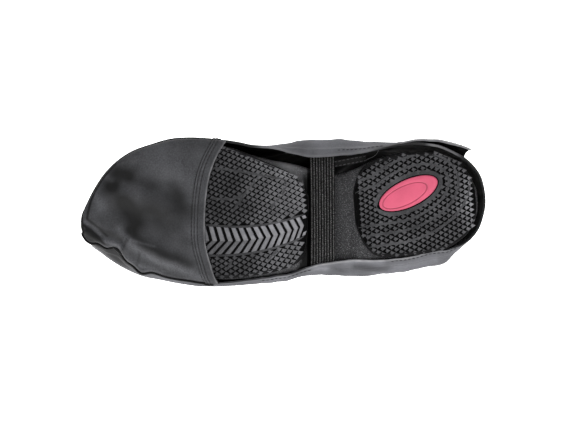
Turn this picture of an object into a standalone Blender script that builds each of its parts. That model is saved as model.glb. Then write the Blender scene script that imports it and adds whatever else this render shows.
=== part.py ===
"""Rain overshoe, right foot, drawn over a treaded walking sole and lying on its outer side.

Shoe frame while building: a runs from the back of the heel to the toe tip, y is positive
towards the inner (medial) side, h is the height over the tread's ground plane.
All sizes in this file are millimetres until a mesh is made.
"""
import math

import bmesh
import bpy
import numpy as np

MM = 0.001

# Overall sizes
HEEL_BACK = -1.6
TOE_TIP = 321.0
WALL = 1.2
HEM_STEP = 0.6
COLLAR_STEP = 0.8
HEM_BAND = 0.3
BULGE_HEIGHT = 11.0
TOE_BULGE_HEIGHT = 34.0
DOME_HEIGHT = 26.0
AROUND = 60
SEAM_GAP = 0.3

# Widest outline of the cover seen from below: station, outer side, inner side
SIDE = (
    (-1.6, -2, -2), (1.2, -16.6, 16.4), (4.4, -24.6, 22.2), (11.4, -33.2, 30.4), (18.4, -39.2, 35.6),
    (25.4, -44.6, 39.8), (32, -50.2, 42.8), (37, -52.4, 44), (46, -53.4, 45.6), (60, -55, 46.6),
    (80, -56.6, 48.4), (100, -57.5, 51.4), (115, -55.6, 52.9), (135, -53.6, 53.7), (148, -53.9, 53.2),
    (160, -56.9, 52), (178, -57.4, 52.8), (192, -57.5, 56.6), (210, -57.5, 60.2), (229, -56.2, 62.6),
    (242, -53.7, 62.8), (261, -48.8, 59.2), (275, -45, 55.4), (287.5, -38.6, 48.8),
    (299.6, -30.2, 38.4), (308.8, -22.4, 26.4), (315.8, -15.8, 14.4), (319.2, -10.4, 8), (321, 0, 0),
)

# Bottom hem drawn in by the elastic: station, inset outer side, inset inner side, height
HEM = (
    (-1.6, 0.5, 0.5, 5.0), (13, 0.7, 1.0, 4.6), (25, 4.6, 1.4, 4.4), (36, 11.0, 1.2, 4.4),
    (60, 10.8, 1.4, 4.4), (84, 12.0, 7.4, 4.6), (105, 13.4, 12.0, 5.0), (120, 11.0, 13.6, 5.0),
    (136, 7.9, 13.3, 5.0), (150, 5.2, 8.2, 4.6), (163, 5.2, 2.4, 4.4), (185, 3.8, 1.0, 5.0),
    (200, 3.2, 1.0, 6.4), (215, 3.0, 1.0, 8.2), (240, 2.2, 0.9, 12.0), (262, 4.4, 0.8, 15.3),
    (279, 3.4, 0.8, 18.2), (290, 7.0, 0.8, 20.4), (300, 9.5, 0.8, 22.5), (307, 5.0, 0.8, 23.7),
    (315, 2.5, 0.8, 25.1), (321, 1.0, 0.8, 26.0),
)

# Cover above the bulge: height, back station, front station on the vamp crown, side draw-in
CROWN = (
    (38, -1.4, 320.3, 0.992), (46, -0.6, 316.6, 0.980), (53, 0.6, 309.4, 0.968),
    (59, 1.8, 298.0, 0.958), (64, 3.0, 284.0, 0.950), (69, 3.8, 264.0, 0.943),
    (75, 4.8, 242.0, 0.936), (82, 6.0, 221.0, 0.928), (91, 7.2, 201.0, 0.918),
    (102, 8.5, 184.0, 0.908), (116, 9.4, 168.5, 0.900), (132, 9.8, 157.5, 0.900),
    (150, 9.6, 150.5, 0.900), (168, 9.0, 147.5, 0.900), (185, 7.6, 146.5, 0.900),
    (205, 6.0, 146.0, 0.900),
)

# Slack shaft, sagging towards the outer side it lies on: height, outer reach, inner reach
SHAFT = ((60, -51, 46), (102, -51.4, 46), (116, -51.6, 44.6), (132, -52, 41.4), (150, -52.6, 36.6),
         (168, -53.8, 31), (185, -55.2, 25.4), (205, -56.7, 20))
SHAFT_FROM = 58.0
SHAFT_TO = 125.0
CROWN_ROUND = 2.3

# Ground line of the tread with its toe spring: station, height
SPRING = ((0, 0), (90, 0), (172, 0), (182, 0.5), (192, 1.5), (202, 2.7), (212, 3.9), (222, 5.2),
          (240, 7.6), (260, 10.5), (280, 13.8), (300, 17.7), (306, 19.0), (321, 22.4))

# Sole body: station, outer edge, inner edge
SOLE = (
    (4.5, -9, 4), (6.5, -17, 11), (10.5, -25, 19.6), (17, -31.4, 26.6), (28, -39, 33.2),
    (45, -44, 37.4), (65, -46, 38.4), (85, -46.8, 34.2), (100, -46.4, 28.4), (115, -46, 26),
    (128, -46.4, 27.4), (140, -47.8, 33), (152, -49.6, 39.4), (165, -51.2, 45), (180, -52.2, 49.6),
    (200, -52.8, 53.6), (220, -51.4, 55.6), (240, -47.6, 54.2), (260, -42.4, 50), (280, -34, 42),
    (293, -25, 32), (301, -16, 22), (305, -6, 12),
)
HEEL_TREAD = (
    (7, -9, 4), (9, -16.5, 11), (13, -24, 19), (20, -30, 26.4), (32, -37, 33.2), (45, -40.8, 36.2),
    (61, -42.6, 37.4), (76, -42.8, 36), (85, -41.4, 33.4), (91, -37.2, 29.6), (96, -30, 24),
    (100, -20.5, 16), (102.5, -11, 7),
)
FORE_TREAD = (
    (138, 3, 14), (139.6, -8, 18.5), (141.4, -24, 21.4), (144.4, -36, 24.6), (149, -41.6, 29.2),
    (158, -45.6, 36.6), (166, -48, 42.4), (175, -49.4, 47), (185, -50.2, 50), (196, -51, 52.2),
    (215, -50.4, 54.2), (240, -46.6, 53), (260, -41.4, 48.8), (280, -33, 40.8), (293, -24, 30.8),
    (300, -16, 22), (304, -6, 12),
)
HEEL_TREAD_THICK = 8.0
FORE_TREAD_THICK = 6.0
TREAD_EDGE = 3.0

# Sole body heights over the ground line: station, under side, upper side
SOLE_BODY = (
    (4.5, 8, 24), (60, 8, 23), (102.6, 8, 20.8), (104, 9.4, 20.7), (107, 12, 20.5), (122, 12.4, 19.4),
    (136.6, 12, 18.2), (139.2, 9.4, 18), (140.4, 6.3, 17.8), (160, 6.3, 16), (190, 6.3, 14.6),
    (305, 6.3, 14),
)
WAIST_SKEW = 6.0
SOLE_EDGE = 4.8
INSOLE_INSET = 3.0
INSOLE_THICK = 3.0

# Chevron strip down the middle of the forefoot: station, middle line, half width,
# sweep of the outer arm, sweep of the inner arm, bar width
CHEVRON = ((141, -13, 8.4, 7.0, 7.5, 4.4), (147, -14.2, 8.8, 7.1, 7.0, 4.3),
           (158, -16.9, 9.4, 7.3, 6.2, 4.1), (174, -20.2, 10.2, 7.6, 5.0, 3.8),
           (194, -21.3, 11, 8.1, 3.7, 3.4), (217, -19.8, 11.6, 8.8, 2.4, 3.0),
           (240, -17, 11.6, 9.4, 2.0, 2.9))
CHEVRON_START = 141.6
CHEVRON_COUNT = 16
CHEVRON_PITCH = 5.85
CHEVRON_DEPTH = 2.8
CHEVRON_BASE = 1.0
CHEVRON_PROUD = 1.6

# Heel badge
BADGE_AT = (59.0, 6.0)
BADGE_LONG = 25.0
BADGE_SHORT = 10.6
BADGE_TURN = 21.0
BADGE_POCKET = 2.4
BADGE_RINGS = ((1.0, 0.9), (0.955, 0.5), (0.86, 0.5), (0.83, 0.9), (0.79, 0.9), (0.76, 0.6), (0.4, 0.5))

# Toe pocket: its rear hem across the forefoot (inner/outer position, station)
TOE_HEM = ((-57, 212.5), (-53, 215), (-39, 219), (-24, 221.8), (-3, 221), (17.6, 218), (34, 213.6),
           (44.7, 208.6), (54, 202.5), (58, 199.5))
TOE_PANEL_WALL = 1.0
TOE_HEM_STEP = 0.6
TOE_HEM_BAND = 10.4
TOE_EDGE_ROUND = 6.0
TOE_SLACK = 0.9
TOE_ROWS = (0.0, 0.05, 0.11, 0.18, 0.27, 0.37, 0.48, 0.59, 0.70, 0.79, 0.87, 0.93, 0.975, 0.995)
TOE_COLUMNS = 20

# Elastic strap under the waist: across position, height of its middle, station of its middle
STRAP = ((-50.0, 10.2, 130.8), (-48.0, 9.2, 130.7), (-45.0, 8.0, 130.5), (-42.0, 6.9, 130.3),
         (-39.0, 5.9, 130.0), (-33.0, 4.9, 129.6), (-10.0, 4.4, 128.0), (12.0, 4.4, 126.6),
         (28.0, 4.9, 125.6), (34.0, 5.9, 125.2), (37.5, 7.0, 125.0), (40.5, 7.8, 125.0),
         (44.0, 8.8, 125.0), (47.5, 10.1, 125.0))
STRAP_WIDE = 20.0
STRAP_THICK = 1.8

# Rear closure flap on the inner side: station, stand-off from the cover at the hem
FLAP = ((64, 0.4), (52, 0.9), (40, 1.8), (28, 3.4), (20, 4.8), (12.5, 6.4))
FLAP_TOP_STANDOFF = 0.5
FLAP_LIFT_HEIGHT = 75.0
FLAP_THICK = 1.2
FLAP_LEVELS = 18

BLACK_FABRIC = (0.035, 0.035, 0.037, 1.0)
BLACK_ELASTIC = (0.018, 0.018, 0.018, 1.0)
BLACK_RUBBER = (0.026, 0.026, 0.027, 1.0)
GREY_RUBBER = (0.05, 0.05, 0.052, 1.0)
CHEVRON_GREY = (0.11, 0.112, 0.118, 1.0)
PINK = (0.80, 0.145, 0.24, 1.0)
INSOLE_GREY = (0.08, 0.08, 0.085, 1.0)


def curve(rows, x, column=1, key=None):
    """Smooth curve through one column of a table; key bends the table's first column."""
    xs = np.array([row[0] for row in rows], dtype=float)
    ys = np.array([row[column] for row in rows], dtype=float)
    x = np.asarray(x, dtype=float)
    if key is not None:
        xs = key(xs)
        x = key(x)
    x = np.clip(x, xs[0], xs[-1])
    slope = np.gradient(ys, xs)
    i = np.clip(np.searchsorted(xs, x, side="right") - 1, 0, len(xs) - 2)
    span = xs[i + 1] - xs[i]
    t = (x - xs[i]) / span
    low = (2 * t**3 - 3 * t**2 + 1) * ys[i] + (t**3 - 2 * t**2 + t) * span * slope[i]
    return low + (3 * t**2 - 2 * t**3) * ys[i + 1] + (t**3 - t**2) * span * slope[i + 1]


def line(rows, x, column=1):
    """Straight-line reading of one column of a table."""
    ordered = sorted(rows)
    return np.interp(x, [row[0] for row in ordered], [row[column] for row in ordered])


def ease(x):
    x = np.clip(x, 0.0, 1.0)
    return x * x * (3 - 2 * x)


def turn(a):
    """Station as an angle, so that round ends stay round."""
    share = (np.asarray(a, dtype=float) - HEEL_BACK) / (TOE_TIP - HEEL_BACK)
    return np.arccos(np.clip(1 - 2 * share, -1, 1))


def side_edge(a, column):
    return curve(SIDE, a, column, turn)


def spring(a):
    return np.where(np.asarray(a) <= SPRING[2][0], 0.0, curve(SPRING, a))


def around(count=AROUND):
    return 2 * math.pi * np.arange(count) / count


def stations(theta, back, front):
    return back + (front - back) * (1 + np.cos(theta)) / 2


def heel_fit(a, back, front):
    """Station on the widest outline that a loop with other ends reads from."""
    mid = 130.0
    rear = mid - (mid - a) * (mid - HEEL_BACK) / (mid - back)
    return np.where(a < mid, rear, mid + (a - mid) * (TOE_TIP - mid) / (front - mid))


def bulge_height(a, low=BULGE_HEIGHT):
    return low + (TOE_BULGE_HEIGHT - low) * ease((a - 200) / 119)


def hem_loop(theta):
    """Bottom edge of the cover, drawn in from the widest outline."""
    a = stations(theta, HEEL_BACK + 0.4, TOE_TIP - 0.8)
    at = heel_fit(a, HEEL_BACK + 0.4, TOE_TIP - 0.8)
    outer = side_edge(at, 1)
    inner = side_edge(at, 2)
    middle = (outer + inner) / 2
    half = np.where(np.sin(theta) >= 0, inner - middle, middle - outer)
    inset = np.where(np.sin(theta) >= 0, line(HEM, a, 2), line(HEM, a, 1))
    half = half - inset * np.minimum(1, half / 22)
    return np.stack([a, middle + np.sign(np.sin(theta).round(9)) * half, curve(HEM, a, 3)], axis=-1)


def low_loop(theta, q):
    """Loop between the hem (q = 0) and the widest outline (q = 1)."""
    hem = hem_loop(theta)
    a = stations(theta, HEEL_BACK, TOE_TIP)
    wide = np.where(np.sin(theta) >= 0, side_edge(a, 2), side_edge(a, 1))
    out = math.sin(q * math.pi / 2)
    y = hem[:, 1] + (wide - hem[:, 1]) * out
    h = hem[:, 2] + (bulge_height(a) - hem[:, 2]) * q
    return np.stack([hem[:, 0] + (a - hem[:, 0]) * out, y, h], axis=-1)


def crown_height(a):
    rows = sorted((row[2], row[0]) for row in CROWN)
    return np.interp(a, [r[0] for r in rows], [r[1] for r in rows])


def high_loop(theta, h):
    """Level loop of the cover above its bulge: rounded vamp in front, shaft over the heel."""
    back = float(curve(CROWN, h, 1))
    front = float(line(CROWN, h, 2))
    draw = float(curve(CROWN, h, 3))
    a = stations(theta, back, front)
    at = heel_fit(a, back, TOE_TIP)
    outer = side_edge(at, 1)
    inner = side_edge(at, 2)
    middle = (outer + inner) / 2
    half = np.where(np.sin(theta) >= 0, inner - middle, middle - outer) * draw
    base = bulge_height(a, DOME_HEIGHT)
    rise = np.clip((h - base) / np.maximum(crown_height(a) - base, 0.01), 0, 1)
    rise = np.where(a < 146, (h - base) / 4000, rise)
    half = half * np.sqrt(np.clip(1 - rise**CROWN_ROUND, 0, 1))
    reach = (float(curve(SHAFT, h, 1)), float(curve(SHAFT, h, 2)))
    shaft = (reach[1] - reach[0]) / 2 * np.abs(np.sin(theta)) ** 0.92
    share = float(ease((h - SHAFT_FROM) / (SHAFT_TO - SHAFT_FROM)))
    half = half * (1 - share) + shaft * share
    middle = middle * (1 - share) + (reach[0] + reach[1]) / 2 * share
    y = middle + np.sign(np.sin(theta).round(9)) * half
    return np.stack([a, y, np.full_like(a, h)], axis=-1)


def grid_normals(grid, closed):
    """Outward normals of a grid of points (rows upwards, columns around)."""
    up = np.gradient(grid, axis=0)
    if closed:
        along = np.roll(grid, -1, axis=1) - np.roll(grid, 1, axis=1)
    else:
        along = np.gradient(grid, axis=1)
    normal = np.cross(along, up)
    size = np.linalg.norm(normal, axis=-1, keepdims=True)
    return normal / np.maximum(size, 1e-9)


def mesh_object(name, verts, faces, material, smooth_angle=None):
    mesh = bpy.data.meshes.new(name)
    mesh.from_pydata([tuple(float(c) * MM for c in v) for v in verts], [], faces)
    solid = bmesh.new()
    solid.from_mesh(mesh)
    bmesh.ops.recalc_face_normals(solid, faces=solid.faces)
    solid.to_mesh(mesh)
    solid.free()
    mesh.update()
    mesh.materials.append(material)
    if smooth_angle is not None:
        for polygon in mesh.polygons:
            polygon.use_smooth = True
        mesh.set_sharp_from_angle(angle=math.radians(smooth_angle))
    item = bpy.data.objects.new(name, mesh)
    bpy.context.scene.collection.objects.link(item)
    return item


def material(name, colour, roughness):
    made = bpy.data.materials.new(name)
    made.use_nodes = True
    shader = made.node_tree.nodes["Principled BSDF"]
    shader.inputs["Base Color"].default_value = colour
    shader.inputs["Roughness"].default_value = roughness
    made.diffuse_color = colour
    return made


def sheet_solid(name, outer, inner, closed, made, angle=40):
    """Closed solid between an outer and an inner grid with the same number of columns."""
    columns = outer.shape[1]
    verts = list(outer.reshape(-1, 3)) + list(inner.reshape(-1, 3))
    start = outer.shape[0] * columns
    faces = []
    last = columns if closed else columns - 1
    for grid, offset, flip in ((outer, 0, False), (inner, start, True)):
        for i in range(grid.shape[0] - 1):
            for j in range(last):
                k = (j + 1) % columns
                face = [offset + i * columns + j, offset + i * columns + k,
                        offset + (i + 1) * columns + k, offset + (i + 1) * columns + j]
                faces.append(face[::-1] if flip else face)
    top_outer = (outer.shape[0] - 1) * columns
    top_inner = start + (inner.shape[0] - 1) * columns
    for j in range(last):
        k = (j + 1) % columns
        faces.append([j, start + j, start + k, k])
        faces.append([top_outer + j, top_outer + k, top_inner + k, top_inner + j])
    if not closed:
        for column, flip in ((0, False), (columns - 1, True)):
            rim = [i * columns + column for i in range(outer.shape[0])]
            rim += [start + i * columns + column for i in range(inner.shape[0] - 1, -1, -1)]
            faces.append(rim[::-1] if flip else rim)
    return mesh_object(name, verts, faces, made, angle)


def loft(name, rings, made, angle=35):
    """Closed solid through rings of equal count, capped at both ends."""
    count = len(rings[0])
    verts = [point for ring in rings for point in ring]
    faces = []
    for i in range(len(rings) - 1):
        for j in range(count):
            k = (j + 1) % count
            faces.append([i * count + j, (i + 1) * count + j, (i + 1) * count + k, i * count + k])
    faces.append(list(range(count)))
    faces.append([(len(rings) - 1) * count + j for j in range(count - 1, -1, -1)])
    return mesh_object(name, verts, faces, made, angle)


def outline_stations(rows, steps, extra=()):
    start = rows[0][0]
    end = rows[-1][0]
    t = np.linspace(0, 1, steps)
    made = start + (end - start) * (1 - np.cos(math.pi * t)) / 2
    return np.unique(np.concatenate([made, np.array(extra, dtype=float)]).round(4))


def ended(rows):
    """Key that keeps the rounded ends of a sole outline round."""
    start = rows[0][0]
    span = rows[-1][0] - start

    def key(a):
        return np.arccos(np.clip(1 - 2 * (np.asarray(a, dtype=float) - start) / span, -1, 1))
    return key


def slab_ring(a, outer, inner, under, top, edge):
    """Cross-section of a sole piece with rounded lower edges."""
    edge = min(edge, (inner - outer) / 4, (top - under) / 2)
    soft = edge * 0.3
    return [(a, outer + edge, under), (a, inner - edge, under), (a, inner - soft, under + soft),
            (a, inner, under + edge), (a, inner, top), (a, outer, top), (a, outer, under + edge),
            (a, outer + soft, under + soft)]


def sole_piece(name, rows, steps, under, top, edge, made, inset=0.0, extra=(), skew=0.0):
    """Sole slab through its outline table; skew turns the sections round the waist."""
    key = ended(rows)
    rings = []
    for a in outline_stations(rows, steps, extra):
        lean = skew / 2 * float(ease(1 - abs(a - 139) / 30))
        outer = float(curve(rows, a + lean, 1, key)) + inset
        inner = float(curve(rows, a - lean, 2, key)) - inset
        ring = slab_ring(a, outer, inner, float(under(a)), float(top(a)), edge)
        middle = (outer + inner) / 2
        rings.append([(a - 2 * lean * (y - middle) / (inner - outer), y, h) for a, y, h in ring])
    return loft(name, rings, made)


def chevron_point(s, v, height, widen=0.0):
    """Point on the chevron strip: s along it, v across (-1 to 1), height over the ground line."""
    a = s + float(curve(CHEVRON, s, 3 if v < 0 else 4)) * abs(v)
    y = float(curve(CHEVRON, a)) + v * (float(curve(CHEVRON, a, 2)) + widen)
    return (a, y, float(spring(a)) + height)


def chevron_strip(made):
    """Base strip with V bars whose points face the heel."""
    low = CHEVRON_DEPTH - CHEVRON_BASE
    proud = low - CHEVRON_PROUD
    stops = []
    for index in range(CHEVRON_COUNT):
        start = CHEVRON_START + index * CHEVRON_PITCH
        end = start + float(curve(CHEVRON, start, 5))
        stops += [(start, low), (start + 0.35, proud), (end - 0.35, proud), (end, low)]
    rings = []
    for s, height in stops:
        lower = [chevron_point(s, v, height) for v in (-1, 0, 1)]
        upper = [chevron_point(s, v, CHEVRON_DEPTH - 0.3) for v in (1, 0, -1)]
        rings.append(lower + upper)
    return loft("chevron_strip", rings, made, 20)


def channel(made):
    """Cutter for the channel that holds the chevron strip."""
    end = CHEVRON_START + CHEVRON_COUNT * CHEVRON_PITCH
    rings = []
    for s in np.linspace(CHEVRON_START - 14, end, 26):
        lower = [chevron_point(s, v, -6.0, 0.5) for v in (-1, 0, 1)]
        upper = [chevron_point(s, v, CHEVRON_DEPTH, 0.5) for v in (1, 0, -1)]
        rings.append(lower + upper)
    return loft("chevron_channel", rings, made)


def oval(scale_long, scale_short, h, count=40):
    angle = math.radians(BADGE_TURN)
    ring = []
    for t in around(count):
        u = scale_long * math.cos(t)
        w = scale_short * math.sin(t)
        a = BADGE_AT[0] + u * math.cos(angle) + w * math.sin(angle)
        y = BADGE_AT[1] - u * math.sin(angle) + w * math.cos(angle)
        ring.append((a, y, h))
    return ring


def badge(made):
    """Plain oval heel badge with a rim and a ring groove."""
    rings = [oval(BADGE_LONG * scale, BADGE_SHORT - BADGE_LONG * (1 - scale) * 0.55, h)
             for scale, h in BADGE_RINGS[::-1]]
    rings.append(oval(BADGE_LONG, BADGE_SHORT, BADGE_POCKET - 0.02))
    return loft("heel_badge", rings, made, 30)


def cut(target, cutter):
    modifier = target.modifiers.new("pocket", "BOOLEAN")
    modifier.operation = "DIFFERENCE"
    modifier.solver = "EXACT"
    modifier.object = cutter
    cutter.hide_render = True
    cutter.display_type = "WIRE"


def cover(made):
    """Hollow cover: bottom hem band, bulged sides, rounded toe box, vamp, shaft and collar band."""
    theta = around()
    base = [low_loop(theta, q) for q in (0.0, HEM_BAND, 0.62, 1.0)]
    base += [high_loop(theta, row[0]) for row in CROWN]
    base = np.array(base)
    normal = grid_normals(base, True)
    outer = []
    for index in range(len(base)):
        if index == 0:
            outer.append(base[0] + normal[0] * HEM_STEP)
        elif index == 1:
            outer.append(base[1] + normal[1] * HEM_STEP)
            outer.append(base[1] + normal[1] * 0.0 + (base[2] - base[1]) * 0.02)
        elif index == len(base) - 2:
            outer.append(base[index] - (base[index] - base[index - 1]) * 0.02)
            outer.append(base[index] + normal[index] * COLLAR_STEP)
        elif index == len(base) - 1:
            outer.append(base[index] + normal[index] * COLLAR_STEP)
        else:
            outer.append(base[index])
    inner = base - normal * WALL
    return sheet_solid("upper", np.array(outer), inner, True, made), base, normal


def closure_flap(base, normal, made):
    """Second layer on the inner side of the heel, free along its rear edge."""
    first = FLAP[-1][0]
    last = FLAP[0][0]
    share = np.linspace(0, 1, 10)
    columns = last + (first - last) * share
    outer = []
    inner = []
    for level in range(FLAP_LEVELS):
        loop = base[level]
        side = normal[level]
        half = range(0, AROUND // 2 + 1)
        a = np.array([loop[j, 0] for j in half])[::-1]
        spot = np.array([loop[j] for j in half])[::-1]
        out = np.array([side[j] for j in half])[::-1]
        row = np.stack([np.interp(columns, a, spot[:, c]) for c in range(3)], axis=-1)
        face = np.stack([np.interp(columns, a, out[:, c]) for c in range(3)], axis=-1)
        lift = ease(1 - (row[:, 2] - 5) / FLAP_LIFT_HEIGHT)
        stand = FLAP_TOP_STANDOFF + (line(FLAP, columns) - FLAP_TOP_STANDOFF) * lift
        stand = np.maximum(stand, 0.4) + (HEM_STEP if level < 2 else 0.25)
        inner.append(row + face * stand[:, None])
        outer.append(row + face * (stand + FLAP_THICK)[:, None])
    return sheet_solid("closure_flap", np.array(outer), np.array(inner), False, made)


def toe_panel(made):
    """Toe pocket under the forefoot with a doubled hem across its rear edge."""
    v = np.sin(np.linspace(-1, 1, TOE_COLUMNS + 1) * math.pi / 2)
    tip = TOE_TIP - 1.4
    hem_a = np.full_like(v, 215.0)

    def across(a, v):
        at = heel_fit(a, HEEL_BACK + 0.4, TOE_TIP - 0.8)
        edges = []
        middle = (side_edge(at, 1) + side_edge(at, 2)) / 2
        for column in (1, 2):
            half = np.abs(side_edge(at, column) - middle)
            edges.append(half - line(HEM, a, column) * np.minimum(1, half / 22))
        return middle + np.where(v < 0, v * edges[0], v * edges[1])

    for _ in range(8):
        hem_a = curve(TOE_HEM, across(hem_a, v))
    rows = list(TOE_ROWS)
    band = TOE_HEM_BAND / (tip - 215)
    rows = sorted(rows + [band])
    rows = [r for r in rows if r == 0 or r >= band - 1e-6 or r < band * 0.7]
    base = []
    for r in rows:
        a = hem_a + (tip - hem_a) * r
        y = across(a, v)
        low = spring(a) - SEAM_GAP - 0.3 - TOE_SLACK * ease((a - 240) / 45) - TOE_PANEL_WALL
        edge = curve(HEM, a, 3) - SEAM_GAP - HEM_STEP
        n = TOE_EDGE_ROUND
        flat = (1 - np.abs(v) ** n) ** (1 / n) * (1 - r**n) ** (1 / n)
        base.append(np.stack([a, y, low + (edge - low) * (1 - flat)], axis=-1))
    base = np.array(base)
    normal = grid_normals(base, False)
    if normal[3, TOE_COLUMNS // 2, 2] > 0:
        normal = -normal
    split = rows.index(band)
    outer = []
    for index in range(len(rows)):
        if index < split:
            outer.append(base[index] + normal[index] * TOE_HEM_STEP)
        elif index == split:
            outer.append(base[index] + normal[index] * TOE_HEM_STEP)
            outer.append(base[index] + (base[index + 1] - base[index]) * 0.02)
        else:
            outer.append(base[index])
    inner = base - normal * TOE_PANEL_WALL
    return sheet_solid("toe_panel", np.array(outer), inner, False, made)


def elastic_strap(made):
    """Flat elastic band that draws the two hems together under the waist."""
    path = np.array(STRAP, dtype=float)
    fine = np.linspace(0, len(path) - 1, 30)
    knots = np.arange(len(path))
    rows = [tuple([k] + list(p)) for k, p in zip(knots, path)]
    points = np.stack([curve(rows, fine, c) for c in (1, 2, 3)], axis=-1)
    tangent = np.gradient(points[:, :2], axis=0)
    tangent /= np.linalg.norm(tangent, axis=1, keepdims=True)
    rings = []
    for (y, h, a), (ty, th) in zip(points, tangent):
        ring = []
        for da, side in ((-1, -1), (1, -1), (1, 1), (-1, 1)):
            off = side * STRAP_THICK / 2
            ring.append((a + da * STRAP_WIDE / 2, y - th * off, h + ty * off))
        rings.append(ring)
    return loft("elastic_strap", rings, made, 50)


def settle(parts):
    """Lay the shoe on its outer side: toe to -X, inner side up, tread facing -Y."""
    shoe = bpy.data.objects.new("overshoe", None)
    bpy.context.scene.collection.objects.link(shoe)
    points = np.array([v.co for part in parts for v in part.data.vertices])
    low = points.min(axis=0)
    high = points.max(axis=0)
    shoe.rotation_euler = (math.pi / 2, 0, math.pi)
    shoe.location = ((low[0] + high[0]) / 2, -(low[2] + high[2]) / 2, -low[1])
    return shoe


def main():
    for item in list(bpy.data.objects):
        bpy.data.objects.remove(item, do_unlink=True)
    fabric = material("coated fabric", BLACK_FABRIC, 0.55)
    panel_fabric = material("toe panel fabric", BLACK_FABRIC, 0.5)
    flap_fabric = material("flap fabric", BLACK_FABRIC, 0.55)
    elastic = material("ribbed elastic", BLACK_ELASTIC, 0.85)
    rubber = material("forefoot rubber", BLACK_RUBBER, 0.5)
    heel_rubber = material("heel rubber", BLACK_RUBBER, 0.5)
    body = material("sole body rubber", GREY_RUBBER, 0.7)
    bars = material("chevron rubber", CHEVRON_GREY, 0.55)
    pink = material("badge", PINK, 0.4)
    lining = material("insole foam", INSOLE_GREY, 0.9)

    upper, base, normal = cover(fabric)
    parts = [upper]
    parts.append(toe_panel(panel_fabric))
    parts.append(closure_flap(base, normal, flap_fabric))
    parts.append(elastic_strap(elastic))

    fore = sole_piece("forefoot_tread", FORE_TREAD, 40, spring,
                      lambda a: spring(a) + FORE_TREAD_THICK, TREAD_EDGE, rubber,
                      extra=(172, 182, 192, 202, 212))
    groove = channel(rubber)
    cut(fore, groove)
    parts.append(fore)
    parts.append(chevron_strip(bars))

    heel = sole_piece("heel_tread", HEEL_TREAD, 26, lambda a: 0.0, lambda a: HEEL_TREAD_THICK,
                      TREAD_EDGE, heel_rubber)
    pocket = loft("badge_pocket", [oval(BADGE_LONG + 0.3, BADGE_SHORT + 0.3, -2.0),
                                   oval(BADGE_LONG + 0.3, BADGE_SHORT + 0.3, BADGE_POCKET)], heel_rubber)
    cut(heel, pocket)
    parts.append(heel)
    parts.append(badge(pink))

    parts.append(sole_piece("sole_body", SOLE, 44,
                            lambda a: spring(a) + line(SOLE_BODY, a, 1),
                            lambda a: spring(a) + line(SOLE_BODY, a, 2), SOLE_EDGE, body,
                            extra=(102.6, 104, 107, 136.6, 139.2, 140.4), skew=WAIST_SKEW))
    parts.append(sole_piece("insole", SOLE, 44,
                            lambda a: spring(a) + line(SOLE_BODY, a, 2) + SEAM_GAP,
                            lambda a: spring(a) + line(SOLE_BODY, a, 2) + SEAM_GAP + INSOLE_THICK,
                            0.8, lining, inset=INSOLE_INSET, extra=(136.6, 140.4), skew=WAIST_SKEW))

    shoe = settle(parts)
    for item in parts + [groove, pocket]:
        item.parent = shoe


main()
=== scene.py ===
"""Dresses the rain overshoe: coated-fabric cover, toe pocket, elastic strap, heel flap and tread.

Shoe sizes are millimetres in the shoe's own frame: a runs from the back of the heel to the toe,
y is positive towards the inner side, h is the height over the tread's ground plane.
"""
import math

import bmesh
import bpy
import numpy as np
from bpy.props import FloatProperty, FloatVectorProperty, IntProperty, PointerProperty
from mathutils import Matrix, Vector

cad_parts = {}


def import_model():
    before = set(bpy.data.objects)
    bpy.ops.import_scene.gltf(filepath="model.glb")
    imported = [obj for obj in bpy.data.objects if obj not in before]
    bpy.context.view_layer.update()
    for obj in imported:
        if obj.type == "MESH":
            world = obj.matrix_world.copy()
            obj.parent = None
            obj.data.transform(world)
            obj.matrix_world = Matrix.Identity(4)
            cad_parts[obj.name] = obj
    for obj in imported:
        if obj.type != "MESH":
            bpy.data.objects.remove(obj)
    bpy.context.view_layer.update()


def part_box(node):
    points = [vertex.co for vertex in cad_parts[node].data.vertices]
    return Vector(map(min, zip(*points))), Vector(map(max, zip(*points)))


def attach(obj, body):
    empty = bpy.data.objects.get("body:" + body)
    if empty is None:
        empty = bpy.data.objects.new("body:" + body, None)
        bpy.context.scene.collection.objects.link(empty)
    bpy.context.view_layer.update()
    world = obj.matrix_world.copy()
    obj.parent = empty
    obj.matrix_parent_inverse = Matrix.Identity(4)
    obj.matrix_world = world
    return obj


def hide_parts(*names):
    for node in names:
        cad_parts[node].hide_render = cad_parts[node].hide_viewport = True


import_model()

bl_info = {
    "name": "Rain Overshoe",
    "version": (1, 0, 0),
    "blender": (4, 5, 0),
    "location": "3D View > Sidebar > Overshoe",
    "description": "Builds the visible pieces of a rain overshoe lying on its outer side",
    "category": "Object",
}

MM = 0.001

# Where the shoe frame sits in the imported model
HEEL_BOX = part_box("heel_tread")
BADGE_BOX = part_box("heel_badge")
ORIGIN_A = HEEL_BOX[1][0] / MM + 7.0
ORIGIN_H = HEEL_BOX[0][1] / MM
ORIGIN_Y = (BADGE_BOX[0][2] + BADGE_BOX[1][2]) / 2 / MM - 6.0

# Cover
HEEL_BACK = -1.6
TOE_TIP = 321.0
WALL = 1.2
HEM_STEP = 0.6
COLLAR_STEP = 0.8
BULGE_HEIGHT = 11.0
TOE_BULGE_HEIGHT = 34.0
DOME_HEIGHT = 26.0
WALL_HEIGHT = 38.0
TOE_RISE_FROM = 200.0
TOE_RISE_LONG = 119.0
HEM_LEAST_INSET = 0.5
HEM_TAPER = 22.0
HEM_BACK = HEEL_BACK + 0.4
HEM_FRONT = TOE_TIP - 0.8
FLOOR_SIDE = -57.5
WAIST_AT = 130.0

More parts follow.
